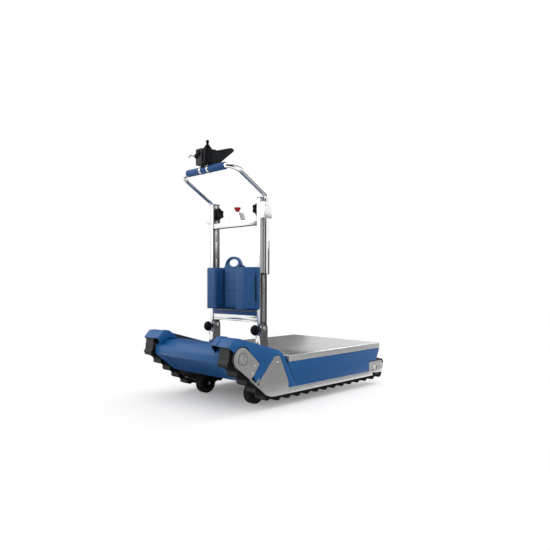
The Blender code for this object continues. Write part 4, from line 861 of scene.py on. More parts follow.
def belt_form(side):
    """The belt's skin: outer columns that follow the lugs, and a flat inside."""
    middle, half = side * sum(BELT_X) / 2, (BELT_X[1] - BELT_X[0]) / 2
    columns = [(-share, cut, drop) for share, cut, drop in BELT_EDGE] + list(BELT_EDGE[::-1])
    form = bmesh.new()
    rings = []
    for lug in range(LUG_COUNT):
        for ahead, height in lug_profile():
            point, out = on_loop(FIRST_LUG + lug * PITCH + ahead)
            rises = [(share, BELT_THICKNESS - drop + height * (1 - cut)) for share, cut, drop in columns]
            rises += [(1.0, 0.0012), (0.9, 0.0003), (-0.9, 0.0003), (-1.0, 0.0012)]
            rings.append([form.verts.new((middle + share * half, *(point + out * rise)))
                          for share, rise in rises])
    for i, ring in enumerate(rings):
        after = rings[(i + 1) % len(rings)]
        for j in range(len(ring)):
            k = (j + 1) % len(ring)
            form.faces.new((ring[j], ring[k], after[k], after[j]))
    bmesh.ops.recalc_face_normals(form, faces=form.faces)
    return meshed(form)


pair("lugged_belt", belt_form, "track_rubber", "base", "track_belt", 40)

# %% Rollers in the belts
def roller_form(side, centre, radius):
    """A roller with two shallow grooves and chamfered ends, on an axle that reaches both plates."""
    middle = (INNER_X[1] + PLATE_X) / 2
    half = (PLATE_X - INNER_X[1]) / 2 - 0.0015
    out, back, axle = SKIN_X - middle, INNER_X[0] - middle, 0.009
    profile = [(0, out), (axle - 0.001, out), (axle, out - 0.001), (axle, half), (radius - 0.006, half),
               (radius - 0.001, half), (radius, half - 0.001)]
    for station in (0.014, -0.014):
        profile += [(radius, station + 0.003), (radius - 0.0015, station + 0.002),
                    (radius - 0.0015, station - 0.002), (radius, station - 0.003)]
    profile += [(radius, 0.001 - half), (radius - 0.001, -half), (axle, -half), (axle, back), (0, back)]
    return turned(profile, outward(side), (side * middle, *centre), 56)


for name, centre, radius in (("drive_pulley", PULLEY, PULLEY_RADIUS), ("press_roller", PRESS, PRESS_RADIUS),
                             ("rear_roller", REAR, REAR_RADIUS)):
    pair(f"{name}_drum", lambda side: roller_form(side, centre, radius - 0.0003), "frame_steel", name, name)

# %% [markdown]
# The belt slides on a drawn rail with two beads along its outer face. At the front a curved
# shoe leads the belt up the slope.

# %% Slide rails
RAIL_TOP = BED_Z + 0.03
RAIL_END = REAR.x - REAR_RADIUS - 0.01


def bend_point(radius, angle):
    return on_roller(BEND, radius, angle)[0]


def bend_arc(radius, steps):
    """The belt's bend, from the slope to the flat bed."""
    return [bend_point(radius, -SLOPE * (steps - i) / steps) for i in range(steps + 1)]


def rail_forms(side):
    """The rail's core with its shoe, and its outer flange in two steps."""
    outline = [*bend_arc(BEND_RADIUS - 0.0003, 12), (RAIL_END, BED_Z + 0.0003), (RAIL_END, RAIL_TOP),
               (BEND.x, RAIL_TOP), bend_point(BEND_RADIUS - 0.04, -SLOPE)]
    start, face = BEND.x + 0.0875, side * (PLATE_X - 0.0035)
    return [plate([outline], "side", side * (INNER_X[1] + 0.0003), side * (PLATE_X - 0.003), 0.0006),
            block((face, start, 0.0728), (side * (SKIN_X - 0.0034), RAIL_END, 0.0834), 0.0005),
            block((face, start, 0.0536), (side * (SKIN_X - 0.0012), RAIL_END, 0.0722), 0.0005)]


def bead_forms(side):
    """The drawn bead under the rail's ledge, and the finer one below it."""
    forms = []
    for height, depth, radius in ((0.0722, 0.0016, 0.0019), (0.0618, 0.0014, 0.0009)):
        ends = [(side * (SKIN_X - depth), y, height) for y in (BEND.x + 0.089, RAIL_END - 0.001)]
        forms.append(sweep(ends, radius, 3))
    return forms


pair("slide_rail", rail_forms, "rail_metal", "base", "track_rail")
pair("rail_beads", bead_forms, "chrome", "base")

# %% [markdown]
# ## End plates
#
# Three laser-cut plates carry the axles outside each belt. The pulley's plate has a bearing
# flange with a ring of small screws, and the rear plate a slot with the block that draws the
# belt tight. The two front plates sit in windows of the painted hood, and a bright strip runs
# down the slope between them.

# %% Pulley plates
PLATE_ROUND, PLATE_SCREWS = 0.0465, mm((-420.5, 203.5), (-435.2, 172))
FLANGE_SCREWS, FLANGE_RING = 16, 0.0256


def pulley_plate_outline():
    """A round end about the pulley, and a tongue that reaches down to the bend."""
    ring = arc(PULLEY, PLATE_ROUND, 52, 232, 36)
    tongue = [PULLEY + corner for corner in mm((46.6, -94.4), (67.6, -76.4), (100.6, -30.4))]
    return ring + rounded([ring[-1], *tongue, ring[0]], 0.006, 5)[6:-6]


def pulley_plate_forms(side):
    """The plate, and the bearing flange with its inner step and boss."""
    flange = mm((0, 2.2), (7, 2.2), (8, 1.4), (9.2, 0.6), (20.5, 0.6), (22.2, 2), (28.5, 2), (30, 0.8),
                (30, -1), (0, -1))
    return [plate([pulley_plate_outline()], "side", side * PLATE_X, side * SKIN_X, 0.0008),
            turned(flange, outward(side), (side * SKIN_X, *PULLEY), 64)]


def wear_pad_form(side):
    """A small worn pad at the plate's lower corner, turned along its edge."""
    turn = Matrix.Rotation(math.radians(-36), 2)
    centre = PULLEY + Vector((0.076, -0.061))
    mark = [centre + turn @ point for point in oblong((-0.0021, -0.0075), (0.0021, 0.0075), 0.002)]
    return plate([mark], "side", side * (SKIN_X - 0.001), side * (SKIN_X + 0.0009), 0.0004)


def flange_screws(side):
    forms = []
    for i in range(FLANGE_SCREWS):
        place = on_roller(PULLEY, FLANGE_RING, math.tau * i / FLANGE_SCREWS)[0]
        forms.append(button_screw((side * (SKIN_X + 0.0018), *place), outward(side), 0.003, 0.001))
    return forms


def plate_screws(side):
    return [button_screw((side * SKIN_X, *place), outward(side), 0.004, 0.0018) for place in PLATE_SCREWS]


pair("pulley_end_plate", pulley_plate_forms, "zinc_sheet", "base", "pulley_plate")
pair("wear_pad", wear_pad_form, "profile_bright", "base")
pair("flange_screws", flange_screws, "black_plastic", "base")
pair("pulley_plate_screws", plate_screws, "chrome", "base")

# %% Bend plates
STRIP_START, STRIP_END = mm((-447, 145.2), (-393, 103.7))


def bend_plate_outline():
    """A triangle with a round top at the press roller, whose foot follows the belt's bend."""
    heel = bend_point(BEND_RADIUS, -SLOPE) + Vector((-math.cos(SLOPE), math.sin(SLOPE))) * 0.04
    toe = Vector((BEND.x + 0.087, BED_Z + 0.0003))
    chain = [heel, heel + Vector((0, 0.028)), PRESS + Vector((-0.016, 0.0275)),
             PRESS + Vector((0.0145, 0.0275)), Vector((toe.x, BED_Z + 0.056)), toe]
    upper = rounded(chain, [0, 0.006, 0.0125, 0.0125, 0.006, 0], 8, closed=False)[1:-1]
    return [*bend_arc(BEND_RADIUS, 10), toe, *reversed(upper), heel]


def bend_plate_form(side):
    return plate([bend_plate_outline()], "side", side * PLATE_X, side * SKIN_X, 0.0006)


def strip_forms(side):
    """The bright strip along the slope, in three steps, with the lug that holds it."""
    way = (STRIP_END - STRIP_START).normalized()
    across = Vector((-way.y, way.x))
    inner = side * (PLATE_X - 0.001)
    forms = []
    for near, far, reach in ((-0.004, 0.0004, 0.0022), (0.0004, 0.0024, 0.0008), (0.0024, 0.0056, 0.0029)):
        strip = [STRIP_START + across * near, STRIP_END + across * near,
                 STRIP_END + across * far, STRIP_START + across * far]
        forms.append(plate([strip], "side", inner, side * (PLATE_X + reach), 0.0004))
    lug = mm((-413, 127), (-405, 121.5), (-392, 142), (-399, 145.5))
    return [*forms, plate([lug], "side", inner, side * (SKIN_X + 0.0005), 0.0004)]


pair("bend_end_plate", bend_plate_form, "zinc_sheet", "base", "bend_plate")
pair("slope_strip", strip_forms, "profile_bright", "base")
pair("press_axle_bolt", lambda side: hex_bolt((side * SKIN_X, *PRESS), outward(side), 0.009, 0.0024),
     "chrome", "press_roller")

# %% Rear tensioners
TENSIONER_FRONT = 0.4213


def tensioner_plate(side):
    """The rear plate with its slot."""
    ring = arc(REAR, 0.046, -40, 50, 24)
    front = [(TENSIONER_FRONT, REAR.y + 0.035), (TENSIONER_FRONT, REAR.y - 0.023)]
    outline = [*rounded([ring[-1], *front, ring[0]], [0, 0.005, 0.005, 0], 5), *ring[1:-1]]
    slot = oblong((TENSIONER_FRONT + 0.022, REAR.y - 0.008), (REAR.x - 0.014, REAR.y + 0.01), 0.004)
    return plate([outline, slot], "side", side * PLATE_X, side * SKIN_X, 0.0006)


def tensioner_block(side):
    middle = TENSIONER_FRONT + 0.05
    return block((side * (PLATE_X - 0.003), middle - 0.011, REAR.y - 0.0075),
                 (side * (SKIN_X + 0.0012), middle + 0.011, REAR.y + 0.0095), 0.001)


def tensioner_bolts(side):
    """The bolt in the block, the roller's axle, and the end of the draw bolt."""
    in_block = (side * (SKIN_X - 0.001), TENSIONER_FRONT + 0.029, REAR.y + 0.001)
    draw_end = (side * (PLATE_X + 0.0015), REAR.x + 0.0455, REAR.y)
    return [*hex_bolt(in_block, outward(side), 0.01, 0.003),
            button_screw((side * SKIN_X, *REAR), outward(side), 0.007, 0.002),
            *hex_bolt(draw_end, "y", 0.0045, 0.0026, False)]


pair("tensioner_end_plate", tensioner_plate, "tensioner_steel", "base", "tensioner_plate")
pair("tensioner_block", tensioner_block, "white_plastic", "base")
pair("tensioner_bolts", tensioner_bolts, "fastener_steel", "base")

# %% [markdown]
# ## Painted sheet
#
# The hoods, the drum and the skirts are folded from two-millimetre sheet and powder coated. A
# hood is made as a folder would: its side view filled, hollowed one sheet inside its top line,
# and cut out round the plates. The edges then get the small radius that paint gives.

# %% Folded hoods
SHEET, WINDOW_GAP = 0.002, 0.0016
HOOD_IN, COLLAR_IN, COLLAR_OUT = 0.2345, 0.1972, 0.2325
HOOD_LINE = mm((-566.4, 290.5), (-536.1, 323.7), (-507.4, 324), (-480.5, 315), (-379, 286.2), (-274.5, 256),
               (-248.5, 237), (-238.5, 219.5), (-212, 180), (-156.5, 83))
COLLAR_LINE = mm((-567.6, 292.9), (-532.2, 326.5), (-505.5, 326.6), (-486.5, 315.7), (-447.3, 283.5))
DRUM_NOSE, DRUM_ROUND = Vector((-0.4905, 0.226)), 0.0615


def folded_sheet(side, line, under, low, high, open_low, open_high):
    """A side view between two X planes, hollowed one sheet inside its top line."""
    solid = plate([[*line, *under]], "side", side * low, side * high, 0)
    inside = offset_line(line, SHEET)
    beyond = [inside[-1] + Vector((0.2, 0)), inside[-1] + Vector((0.2, -0.25)),
              inside[0] + Vector((-0.03, -0.25)), inside[0] + Vector((-0.03, -0.02))]
    return carved(solid, plate([[*inside, *beyond]], "side", side * open_low, side * open_high, 0))


def window(outline):
    """A plate's outline, a little larger all round."""
    middle = sum(outline, Vector((0, 0))) / len(outline)
    return [point + (point - middle).normalized() * WINDOW_GAP for point in outline]


def hood_form(side):
    """The outer hood: a side face with windows for both plates, and the roof over the belt."""
    under = [(HOOD_LINE[-1].x, 0.08), (BEND.x, 0.08), (-0.4159, 0.134), (-0.4625, 0.208),
             *arc(PULLEY, 0.0515, 36, 148, 24), (-0.5421, 0.2712)]
    form = folded_sheet(side, HOOD_LINE, under, HOOD_IN, SKIN_X, 0.22, SKIN_X - SHEET)
    form = carved(form, block((side * 0.22, PRESS.x + 0.026, BED_Z), (side * 0.245, 0.2, 0.5), 0))
    for outline in (bend_plate_outline(), pulley_plate_outline()):
        form = carved(form, plate([window(outline)], "side", side * 0.3, side * 0.33, 0))
    return softened(form, 0.0007)


def collar_form(side):
    """The narrow hood beside the outer one, whose foot follows the drum."""
    drum = [point + Vector((0, 0.0006)) for point in arc(DRUM_NOSE, DRUM_ROUND, 90, 150, 12)]
    form = folded_sheet(side, COLLAR_LINE, drum, COLLAR_IN, COLLAR_OUT, COLLAR_IN + SHEET, 0.25)
    return softened(form, 0.0007)


def collar_shade_plate(side):
    """A black plate inside the inner hood, put there as painted shade."""
    drum = [point + Vector((0.002, 0.001)) for point in arc(DRUM_NOSE, DRUM_ROUND, 94, 148, 10)]
    line = [point + Vector((0.004, -0.004)) for point in COLLAR_LINE[:-1]]
    return plate([[*line, *drum]], "side", side * 0.1995, side * 0.201, 0.0002)


def hood_wall(side):
    """The inner wall of the outer hood, in a dark finish that paints its shade."""
    wall = mm((-466, 288), (-437.5, 285.8), (-287.5, 244.8), (-262, 232), (-235, 215), (-238.5, 219.5),
              (-248.5, 236.8), (-274.5, 255.6), (-379, 286), (-466, 310.8))
    return plate([wall], "side", side * 0.2346, side * 0.24, 0.0006)


pair("collar_shade_plate", collar_shade_plate, "black_plastic", "base")
pair("track_hood", hood_form, "blue_paint", "base", "front_cover", 24)
pair("inner_hood", collar_form, "blue_paint", "base", "inner_cover", 24)
refined("skirt_panel", "side_skirt", "blue_paint", "base", crease=24)
pair("hood_wall", hood_wall, "motor_casting", "base")

# %% Drum
DRUM_HALF, DRUM_FLAT = 0.2399, 0.284
SLOT_X, SLOT_LONG, SLOT_WIDE = -0.173, 0.084, 0.009
SLOT_WAY = Vector((0, 0.113, -0.09)).normalized()
SLOT_TURN = Vector((0, 1, 0)).rotation_difference(SLOT_WAY).to_matrix().to_4x4()


def slot_block(place, width, length, thick, edge):
    """A block that lies along the slope of the drum, about a place."""
    half = Vector((width, length, thick)) / 2
    form = block(-half, half, edge)
    form.transform(Matrix.Translation(place) @ SLOT_TURN)
    return form


def drum_form():
    """The folded sheet round the motors: flat top, wide nose, straight slope and flat floor."""
    line = rounded([(-0.2875, 0.243), (-0.4375, DRUM_FLAT), (-0.5525, DRUM_FLAT), (-0.5525, 0.216),
                    (-0.4395, 0.126), (-0.3675, 0.156), (-0.2875, 0.156)],
                   [0, 0.03, 0.056, 0.014, 0.012, 0.02, 0], 12, closed=False)
    form = plate([[*line, *reversed(offset_line(line, -SHEET))]], "side", -DRUM_HALF, DRUM_HALF, 0)
    slot = slot_block(Vector((SLOT_X, -0.5005, 0.179)), SLOT_WIDE, SLOT_LONG, 0.04, 0)
    return softened(carved(form, slot), 0.0005, 2, 40)


# A black strip inside the drum, behind the slot, is painted shade that makes the slot read dark.
inside_drum = Vector((SLOT_X, -0.4985, 0.173)) + Vector((0, 0.09, 0.113)).normalized() * 0.0034
piece("drum_shell", drum_form(), "blue_paint", "base", ["drum_cover"], 30)
strip = slot_block(inside_drum, 0.016, SLOT_LONG + 0.008, 0.0024, 0.0005)
piece("slot_shade_strip", strip, "black_plastic", "base")

# %% Frame plates, chassis and motors
def motor_form(side):
    """A gear head with a flange, and a ribbed can behind it."""
    radius, length = 0.046, 0.15
    profile = [(0, 0), (radius, 0), (radius, -0.01), (radius - 0.001, -0.012), (radius * 0.92, -0.013),
               (radius * 0.92, -0.052), (radius * 0.86, -0.056)]
    for i in range(10):
        station = -0.06 - i * 0.0078
        profile += [(radius * 0.8, station), (radius * 0.8, station - 0.0044),
                    (radius * 0.765, station - 0.005), (radius * 0.765, station - 0.0074)]
    profile += [(radius * 0.78, 0.004 - length), (radius * 0.7, -length), (0, -length)]
    return turned(profile, outward(side), (side * (INNER_X[0] - 0.0003), *PULLEY), 56)


refined("frame_plate", "inner_plate", "frame_steel", "base")
pair("gear_motor", motor_form, "motor_casting", "base", "drive_motor")
refined("welded_chassis", "chassis_frame", "frame_steel", "base", 0.002, 3)

# %% [markdown]
# ## The load deck
#
# The deck is one sheet with its edges folded down on a three-millimetre radius. The fold catches
# the light along the whole side, and painted light makes the faces that turn sideways paler than the top.

# %% Deck
refined("folded_deck", "load_deck", "deck_sheet", "base", 0.0004, 1, 50, 40)

# %% [markdown]
# ## Wheels
#
# Two solid tyres on trailing arms carry the front, and two swivel castors the rear. A tyre is a
# turned profile with a crowned tread, a hub with a step and a bolt in its end.

# %% Front wheels
WHEEL_X, WHEEL_Y, WHEEL_RADIUS, WHEEL_HALF, HUB_RADIUS = 0.177, -0.2965, 0.05, 0.02, 0.026


def tyre_form(side):
    half, rim, hub = WHEEL_HALF, WHEEL_RADIUS, HUB_RADIUS
    profile = [(hub, half - 0.003), (hub + 0.001, half - 0.0014), (hub + 0.006, half), (rim - 0.008, half),
               (rim - 0.0045, half - 0.0004), (rim - 0.0018, half - 0.0022), (rim - 0.0004, half - 0.006),
               (rim, 0.004)]
    return turned(mirrored(profile, [(rim - 0.0006, 0)]), outward(side), (side * WHEEL_X, WHEEL_Y, rim), 72)


def hub_form(side):
    half, hub = WHEEL_HALF - 0.002, HUB_RADIUS
    profile = [(0.0083, half), (0.012, half), (0.013, half - 0.001), (0.014, half - 0.005),
               (0.022, half - 0.006), (hub - 0.001, half - 0.001), (hub, half - 0.002)]
    return turned(mirrored(profile), outward(side), (side * WHEEL_X, WHEEL_Y, WHEEL_RADIUS), 48)


pair("front_tyre", tyre_form, "tyre_rubber", "front_wheel", "front_wheel")
pair("front_hub", hub_form, "black_plastic", "front_wheel")

# %% Trailing arms
LIFT_PIVOT = Vector((-0.2215, 0.079))


def lift_forms():
    """The cross shaft, and on each side a rounded arm with a boss."""
    reach = INNER_X[1] - 0.0003
    shaft = mirrored([(0, reach), (0.009, reach), (0.01, reach - 0.001)])
    forms = [turned(shaft, "x", (0, *LIFT_PIVOT), 40)]
    hub = Vector((WHEEL_Y, WHEEL_RADIUS))
    way = LIFT_PIVOT - hub
    start = math.degrees(math.atan2(way.y, way.x))
    outline = arc(hub, 0.013, start + 90, start + 270, 16)
    outline += arc(LIFT_PIVOT, 0.013, start - 90, start + 90, 16)
    inner = WHEEL_X - WHEEL_HALF - 0.0015
    boss = mm((0, 4), (13.5, 4), (15, 2.5), (15, 0), (0, 0))
    for side, _ in SIDES:
        forms += [plate([outline], "side", side * (inner - 0.008), side * inner, 0.0015, 3),
                  turned(boss, inward(side), (side * (inner - 0.008), *LIFT_PIVOT), 32)]
    return forms


def stub_forms():
    """The stub axle of each front wheel, with its bolt."""
    inner, out = WHEEL_X - WHEEL_HALF - 0.0055, WHEEL_X + WHEEL_HALF + 0.003
    axle = [(0, 0), (0.008, 0), (0.008, inner - out), (0, inner - out)]
    forms = []
    for side, _ in SIDES:
        forms.append(turned(axle, outward(side), (side * (out - 0.004), WHEEL_Y, WHEEL_RADIUS), 28))
        forms += hex_bolt((side * (out - 0.006), WHEEL_Y, WHEEL_RADIUS), outward(side), 0.013, 0.005)
    return forms


piece("lift_arms", lift_forms(), "black_plastic", "wheel_lift", ["wheel_lift_frame"])
piece("stub_axles", stub_forms(), "fastener_steel", "wheel_lift")

# %% Castors
CASTOR_X, CASTOR_HALF, CASTOR_CHEEK, CASTOR_AXLE = 0.165, 0.014, 0.0185, Vector((0.4175, 0.04))


def castor_tyre(side):
    half, rim = CASTOR_HALF, CASTOR_AXLE.y
    profile = [(0.03, half - 0.002), (0.031, half), (rim - 0.005, half), (rim - 0.0015, half - 0.0022),
               (rim, half - 0.006)]
    return turned(mirrored(profile), "x", (side * CASTOR_X, *CASTOR_AXLE), 64)


def castor_hub(side):
    profile = mm((5.3, 13.5), (11, 13.5), (12, 9.5), (24, 8.5), (26.5, 12.5), (30.2, 12.5))
    return turned(mirrored(profile), "x", (side * CASTOR_X, *CASTOR_AXLE), 48)


def castor_bolts(side):
    forms = []
    for way in (1, -1):
        cheek = (side * CASTOR_X + way * CASTOR_CHEEK, *CASTOR_AXLE)
        forms += hex_bolt(cheek, outward(way), 0.008, 0.003)
    return forms


pair("castor_tyre", castor_tyre, "tyre_rubber", "castor_wheel", "castor_wheel")
pair("castor_hub", castor_hub, "grey_plastic", "castor_wheel")
refined("castor_fork_shell", "castor_fork", "zinc_sheet", "castor_fork")
pair("castor_bolts", castor_bolts, "fastener_steel", "castor_fork")
refined("castor_beam", "castor_lift_frame", "frame_steel", "castor_lift", 0.001)

# %% [markdown]
# ## The column
#
# Each upright is an extruded profile with a groove in both broad faces. A bright strip with holes
# for the locking pin lies in the groove, and a thin blue cap closes the top. The feet pivot in
# forked brackets on the chassis.

# %% Uprights
UPRIGHT_X, UPRIGHT_HALF, COLUMN_Y, COLUMN_HALF = 0.1725, 0.01125, -0.239, 0.0225
FOLD_Z, UPRIGHT_TOP, GROOVE = 0.343, 0.952, 0.003
FIRST_HOLE, PIN_PITCH, PIN_HOLES = 0.419, 0.087, 7


def upright_form(side):
    """The extruded profile: lands, groove lips and the groove's floor, the same on both faces."""
    wide, deep, lip, floor = UPRIGHT_HALF, COLUMN_HALF, 0.0075, UPRIGHT_HALF - GROOVE
    half = [(wide, -deep), (wide, -lip), (floor, -lip), (floor, lip), (wide, lip), (wide, deep)]
    outline = [(side * UPRIGHT_X + way * x, COLUMN_Y + way * y) for way in (1, -1) for x, y in half]
    bends = [0.0022, 0.0006, 0.0004, 0.0004, 0.0006, 0.0022]
    return plate([rounded(outline, bends * 2, 3)], "top", FOLD_Z - 0.03, UPRIGHT_TOP, 0.0004)


def pin_strips(side):
    """The strips in both grooves, with their row of pin holes."""
    top, bottom = UPRIGHT_TOP - 0.004, FOLD_Z + 0.03
    outline = [oblong((COLUMN_Y - 0.0068, bottom), (COLUMN_Y + 0.0068, top), 0.001, 2)]
    outline += [arc((COLUMN_Y, FIRST_HOLE + PIN_PITCH * i), 0.003, 0, 345, 23) for i in range(PIN_HOLES)
                if bottom + 0.01 < FIRST_HOLE + PIN_PITCH * i < top - 0.01]
    forms = []
    for way in (1, -1):
        floor_x = side * UPRIGHT_X + way * (UPRIGHT_HALF - GROOVE)
        forms.append(plate(outline, "side", floor_x, floor_x + way * 0.0016, 0.0003))
    return forms


def cap_form(side):
    """The cap, a hair wider than the profile, so that the sliding bars still clear it."""
    half = Vector((0.0113, 0.0238, 0.0016))
    middle = Vector((side * UPRIGHT_X, COLUMN_Y, UPRIGHT_TOP + 0.0014))
    return block(middle - half, middle + half, 0.001, 3)


pair("upright_profile", upright_form, "profile_dark", "column", "upright", 40)
pair("pin_strips", pin_strips, "profile_bright", "column")
pair("upright_cap", cap_form, "cap_blue", "column")

# %% Foot brackets and fold pins
FOOT_BOLT_X, FOOT_BOLT_Y, FOOT_TOP = 0.0205, (-0.2655, -0.206), 0.228


def fold_pin(side):
    """The pin through the fork's cheeks, with a rounded head at each end."""
    reach = UPRIGHT_HALF + 0.0046
    half = [(0, reach + 0.0042), (0.006, reach + 0.0042), (0.0092, reach + 0.0022), (0.0096, reach + 0.0004),
            (0.0096, reach), (0.006, reach)]
    return turned(mirrored(half), "x", (side * UPRIGHT_X, COLUMN_Y, FOLD_Z), 36)


def foot_bolts(side):
    return [form for y in FOOT_BOLT_Y for way in (1, -1)
            for form in hex_bolt((side * UPRIGHT_X + way * FOOT_BOLT_X, y, FOOT_TOP), "z", 0.008, 0.0035)]


refined("foot_fork", "foot_bracket", "bracket_steel", "base")
pair("fold_pin_steel", fold_pin, "fastener_steel", "base", "fold_pin")
pair("foot_bolts", foot_bolts, "fastener_steel", "base")

# %% Cross members
CROSS_FRONT, CROSS_DEPTH, CROSS_HALF = -0.2595, 0.0367, 0.1608


def cross_bar(near, low, far, high, edge, half=CROSS_HALF):
    """A bar from upright to upright, between two depths behind the cross's front and two heights."""
    return block((-half, CROSS_FRONT + near, low), (half, CROSS_FRONT + far, high), edge)


refined("upper_cross", "upper_cross_plate", "cross_metal", "column", 0.0008)
# A black line along the upper cross's lower edge is painted shade under it.
piece("cross_shade_line", cross_bar(-0.0009, 0.8266, 0.0005, 0.8284, 0.0003, 0.1605), "black_plastic", "column")
tray = [cross_bar(0, 0.3992, 0.002, 0.417, 0.0006), cross_bar(0, 0.399, CROSS_DEPTH, 0.4008, 0.0005),
        cross_bar(0.0005, 0.4268, CROSS_DEPTH, 0.4287, 0.0005),
        cross_bar(-0.048, 0.4266, 0.008, 0.4288, 0.0006, 0.157)]
piece("battery_shelf", tray, "blue_paint", "column", ["battery_tray"])
# A dark stripe under the battery's foot paints the shade and reflection there.
piece("tray_shade_stripe", cross_bar(0.0008, 0.4165, 0.0024, 0.427, 0.0003), "frame_steel", "column")
channel = [cross_bar(0, 0.3784, 0.002, 0.3982, 0.0006), cross_bar(0, 0.3695, 0.002, 0.377, 0.0006),
           cross_bar(0.001, 0.3695, CROSS_DEPTH, 0.3713, 0.0005),
           cross_bar(0.0016, 0.37, 0.0032, 0.3985, 0.0003)]
piece("lower_cross_channel", channel, "cross_metal", "column")
# A black line at the channel's fold is painted shade in the crease.
piece("cross_fold_shade", cross_bar(0.0003, 0.3768, 0.0018, 0.3786, 0.0002), "black_plastic", "column")

# %% Stop button
STOP = (0, COLUMN_Y, 0.898)
mushroom = mm((0, 25.2), (9, 26), (14.5, 25.6), (16.4, 24.2), (16.5, 22.5), (15.6, 19.8), (13.4, 15),
              (11, 10.2), (9.8, 7.4), (8.6, 6.7), (8.5, -8), (0, -8))
collar = mm((10.6, 1.8), (12.8, 1.8), (13.5, 1.2), (13.8, 0), (10.6, 0))
piece("stop_mushroom", turned(mushroom, "z", STOP, 56), "red_plastic", "stop_button", ["stop_button"], 40)
piece("stop_collar", turned(collar, "z", STOP, 48), "grey_plastic", "column")
FLANK, FLANK_WAY, FLANK_OUT = Vector((0.046, 0.852)), Vector((-0.3816, 0.9243)), Vector((0.9243, 0.3816))
panel = [FLANK + FLANK_WAY * along + FLANK_OUT * out
         for along, out in ((0.008, -0.0004), (0.046, -0.0004), (0.046, 0.0014), (0.008, 0.0014))]
piece("stop_box_panel", plate([panel], "front", -0.2565, -0.225, 0.0003), "panel_grey", "column")

# %% Knobs
KNOB_Z, FOLD_KNOB_Z = 0.903, 0.335
UPRIGHT_IN = UPRIGHT_X - UPRIGHT_HALF


def star_knob(side):
    """Six lobes round a dished face."""
    profile = mm((0, 20), (9, 20), (12, 21), (21, 22), (26.5, 21.2), (29.5, 19), (30.8, 15.5), (31, 11),
                 (30.6, 6), (29, 2.2), (26, 0.2), (12, 0), (9, -3), (6.2, -6), (6, -9), (0, -9))
    depths = [0, 0, 0.02, 0.1, 0.17, 0.2, 0.21, 0.21, 0.21, 0.2, 0.17, 0, 0, 0, 0, 0]
    return turned(profile, inward(side), (side * (UPRIGHT_IN - 0.0063), COLUMN_Y, KNOB_Z), 96, 6, depths)


def dome_knob(side):
    """A smooth ball knob with faint flutes, on a short neck."""
    profile = mm((0, 26), (6, 25.8), (12, 24.5), (17.5, 21.8), (21.8, 17.5), (24.2, 12.5), (25, 8.5),
                 (24.6, 4.5), (22.5, 1.2), (18, 0), (11, -0.6), (8.5, -3), (7.2, -6), (7, -14), (0, -14))
    depths = [0, 0, 0, 0.005, 0.02, 0.03, 0.04, 0.04, 0.03, 0, 0, 0, 0, 0, 0]
    face = COLUMN_Y - COLUMN_HALF - 0.0143
    return turned(profile, "-y", (side * UPRIGHT_X, face, FOLD_KNOB_Z), 96, 8, depths)


def clamp_backing(side):
    """The plate behind the star knob, with a hole for its stem."""
    panel = block((side * (UPRIGHT_IN - 0.0026), COLUMN_Y - 0.022, 0.856),
                  (side * (UPRIGHT_IN - 0.0006), COLUMN_Y + 0.022, 0.934), 0.0006)
    hole = mm((0, 10), (6.6, 10), (6.6, -10), (0, -10))
    return carved(panel, turned(hole, "x", (side * (UPRIGHT_IN - 0.0016), COLUMN_Y, KNOB_Z), 32))


def clamp_screws(side):
    return [button_screw((side * (UPRIGHT_IN - 0.0026), COLUMN_Y, height), inward(side), 0.0042, 0.0018)
            for height in (0.864, 0.929)]


pair("star_knob", star_knob, "black_plastic", "clamp_knob", "clamp_knob", 60)
pair("dome_knob", dome_knob, "black_plastic", "fold_knob", "fold_knob", 60)
pair("clamp_backing", clamp_backing, "profile_dark", "column")
pair("clamp_screws", clamp_screws, "fastener_steel", "column")

# %% [markdown]
# ## The battery
#
# The battery is a moulded case with two deep ridges and a ring handle. Its outline is cut from
# above, and its front view rounds the corners. A slanted cutter then rounds each ridge.

# %% Battery case
BATTERY_BACK = COLUMN_Y - COLUMN_HALF - 0.0003
BATTERY_LOW, BATTERY_TOP, BATTERY_HALF = 0.429, 0.629, 0.181
WING, VALLEY, RIDGE = (BATTERY_BACK - depth for depth in (0.016, 0.012, 0.058))
WING_X, RIDGE_X = BATTERY_HALF * 0.92, BATTERY_HALF * 0.76
CORNER = 0.0125


def battery_outline():
    right = [(BATTERY_HALF, BATTERY_BACK), (BATTERY_HALF, WING), (WING_X, WING), (RIDGE_X, RIDGE),
             (BATTERY_HALF * 0.41, RIDGE), (BATTERY_HALF * 0.38, VALLEY)]
    bends = [0.0078, 0.0078, 0.008, 0.014, 0.01, 0.008]
    return rounded(right + [(-x, y) for x, y in reversed(right)], bends + bends[::-1], 6)


def battery_handle():
    """A flat ring on a wide foot."""
    angles = [math.radians(172 - 4 * i) for i in range(42)]
    ring = [Vector((0.058 * math.cos(a), BATTERY_TOP + 0.053 * math.sin(a))) for a in angles]
    foot = [Vector((x, BATTERY_TOP - 0.004)) for x in (-0.07, 0.07)]
    turns = [math.tau * i / 48 for i in range(48)]
    hole = [Vector((0.041 * math.cos(a), BATTERY_TOP + 0.0225 + 0.0185 * math.sin(a))) for a in turns]
    outlines = [[foot[0], *ring, foot[1]], hole]
    return plate(outlines, "front", BATTERY_BACK - 0.011, BATTERY_BACK + 0.01, 0.003, 4)


def corner_cutter(side, height, way):
    """What lies outside a quarter round along the slanted flank of a ridge."""
    shape = [*arc((-CORNER, -CORNER), CORNER, 0, 90, 8), (-CORNER, 0.01), (0.01, 0.01), (0.01, -CORNER)]
    form = plate([shape], "front", RIDGE - 0.004, WING + 0.001, 0)
    shear = Matrix.Identity(4)
    shear[0][1] = (WING_X - RIDGE_X) / (WING - RIDGE)
    place = Matrix.Translation((RIDGE_X, RIDGE, 0)) @ shear @ Matrix.Translation((0, -RIDGE, 0))
    form.transform(Matrix.Translation((0, 0, height)) @ Matrix.Diagonal((side, 1, way, 1)) @ place)
    if side * way < 0:
        form.flip_normals()
    return form


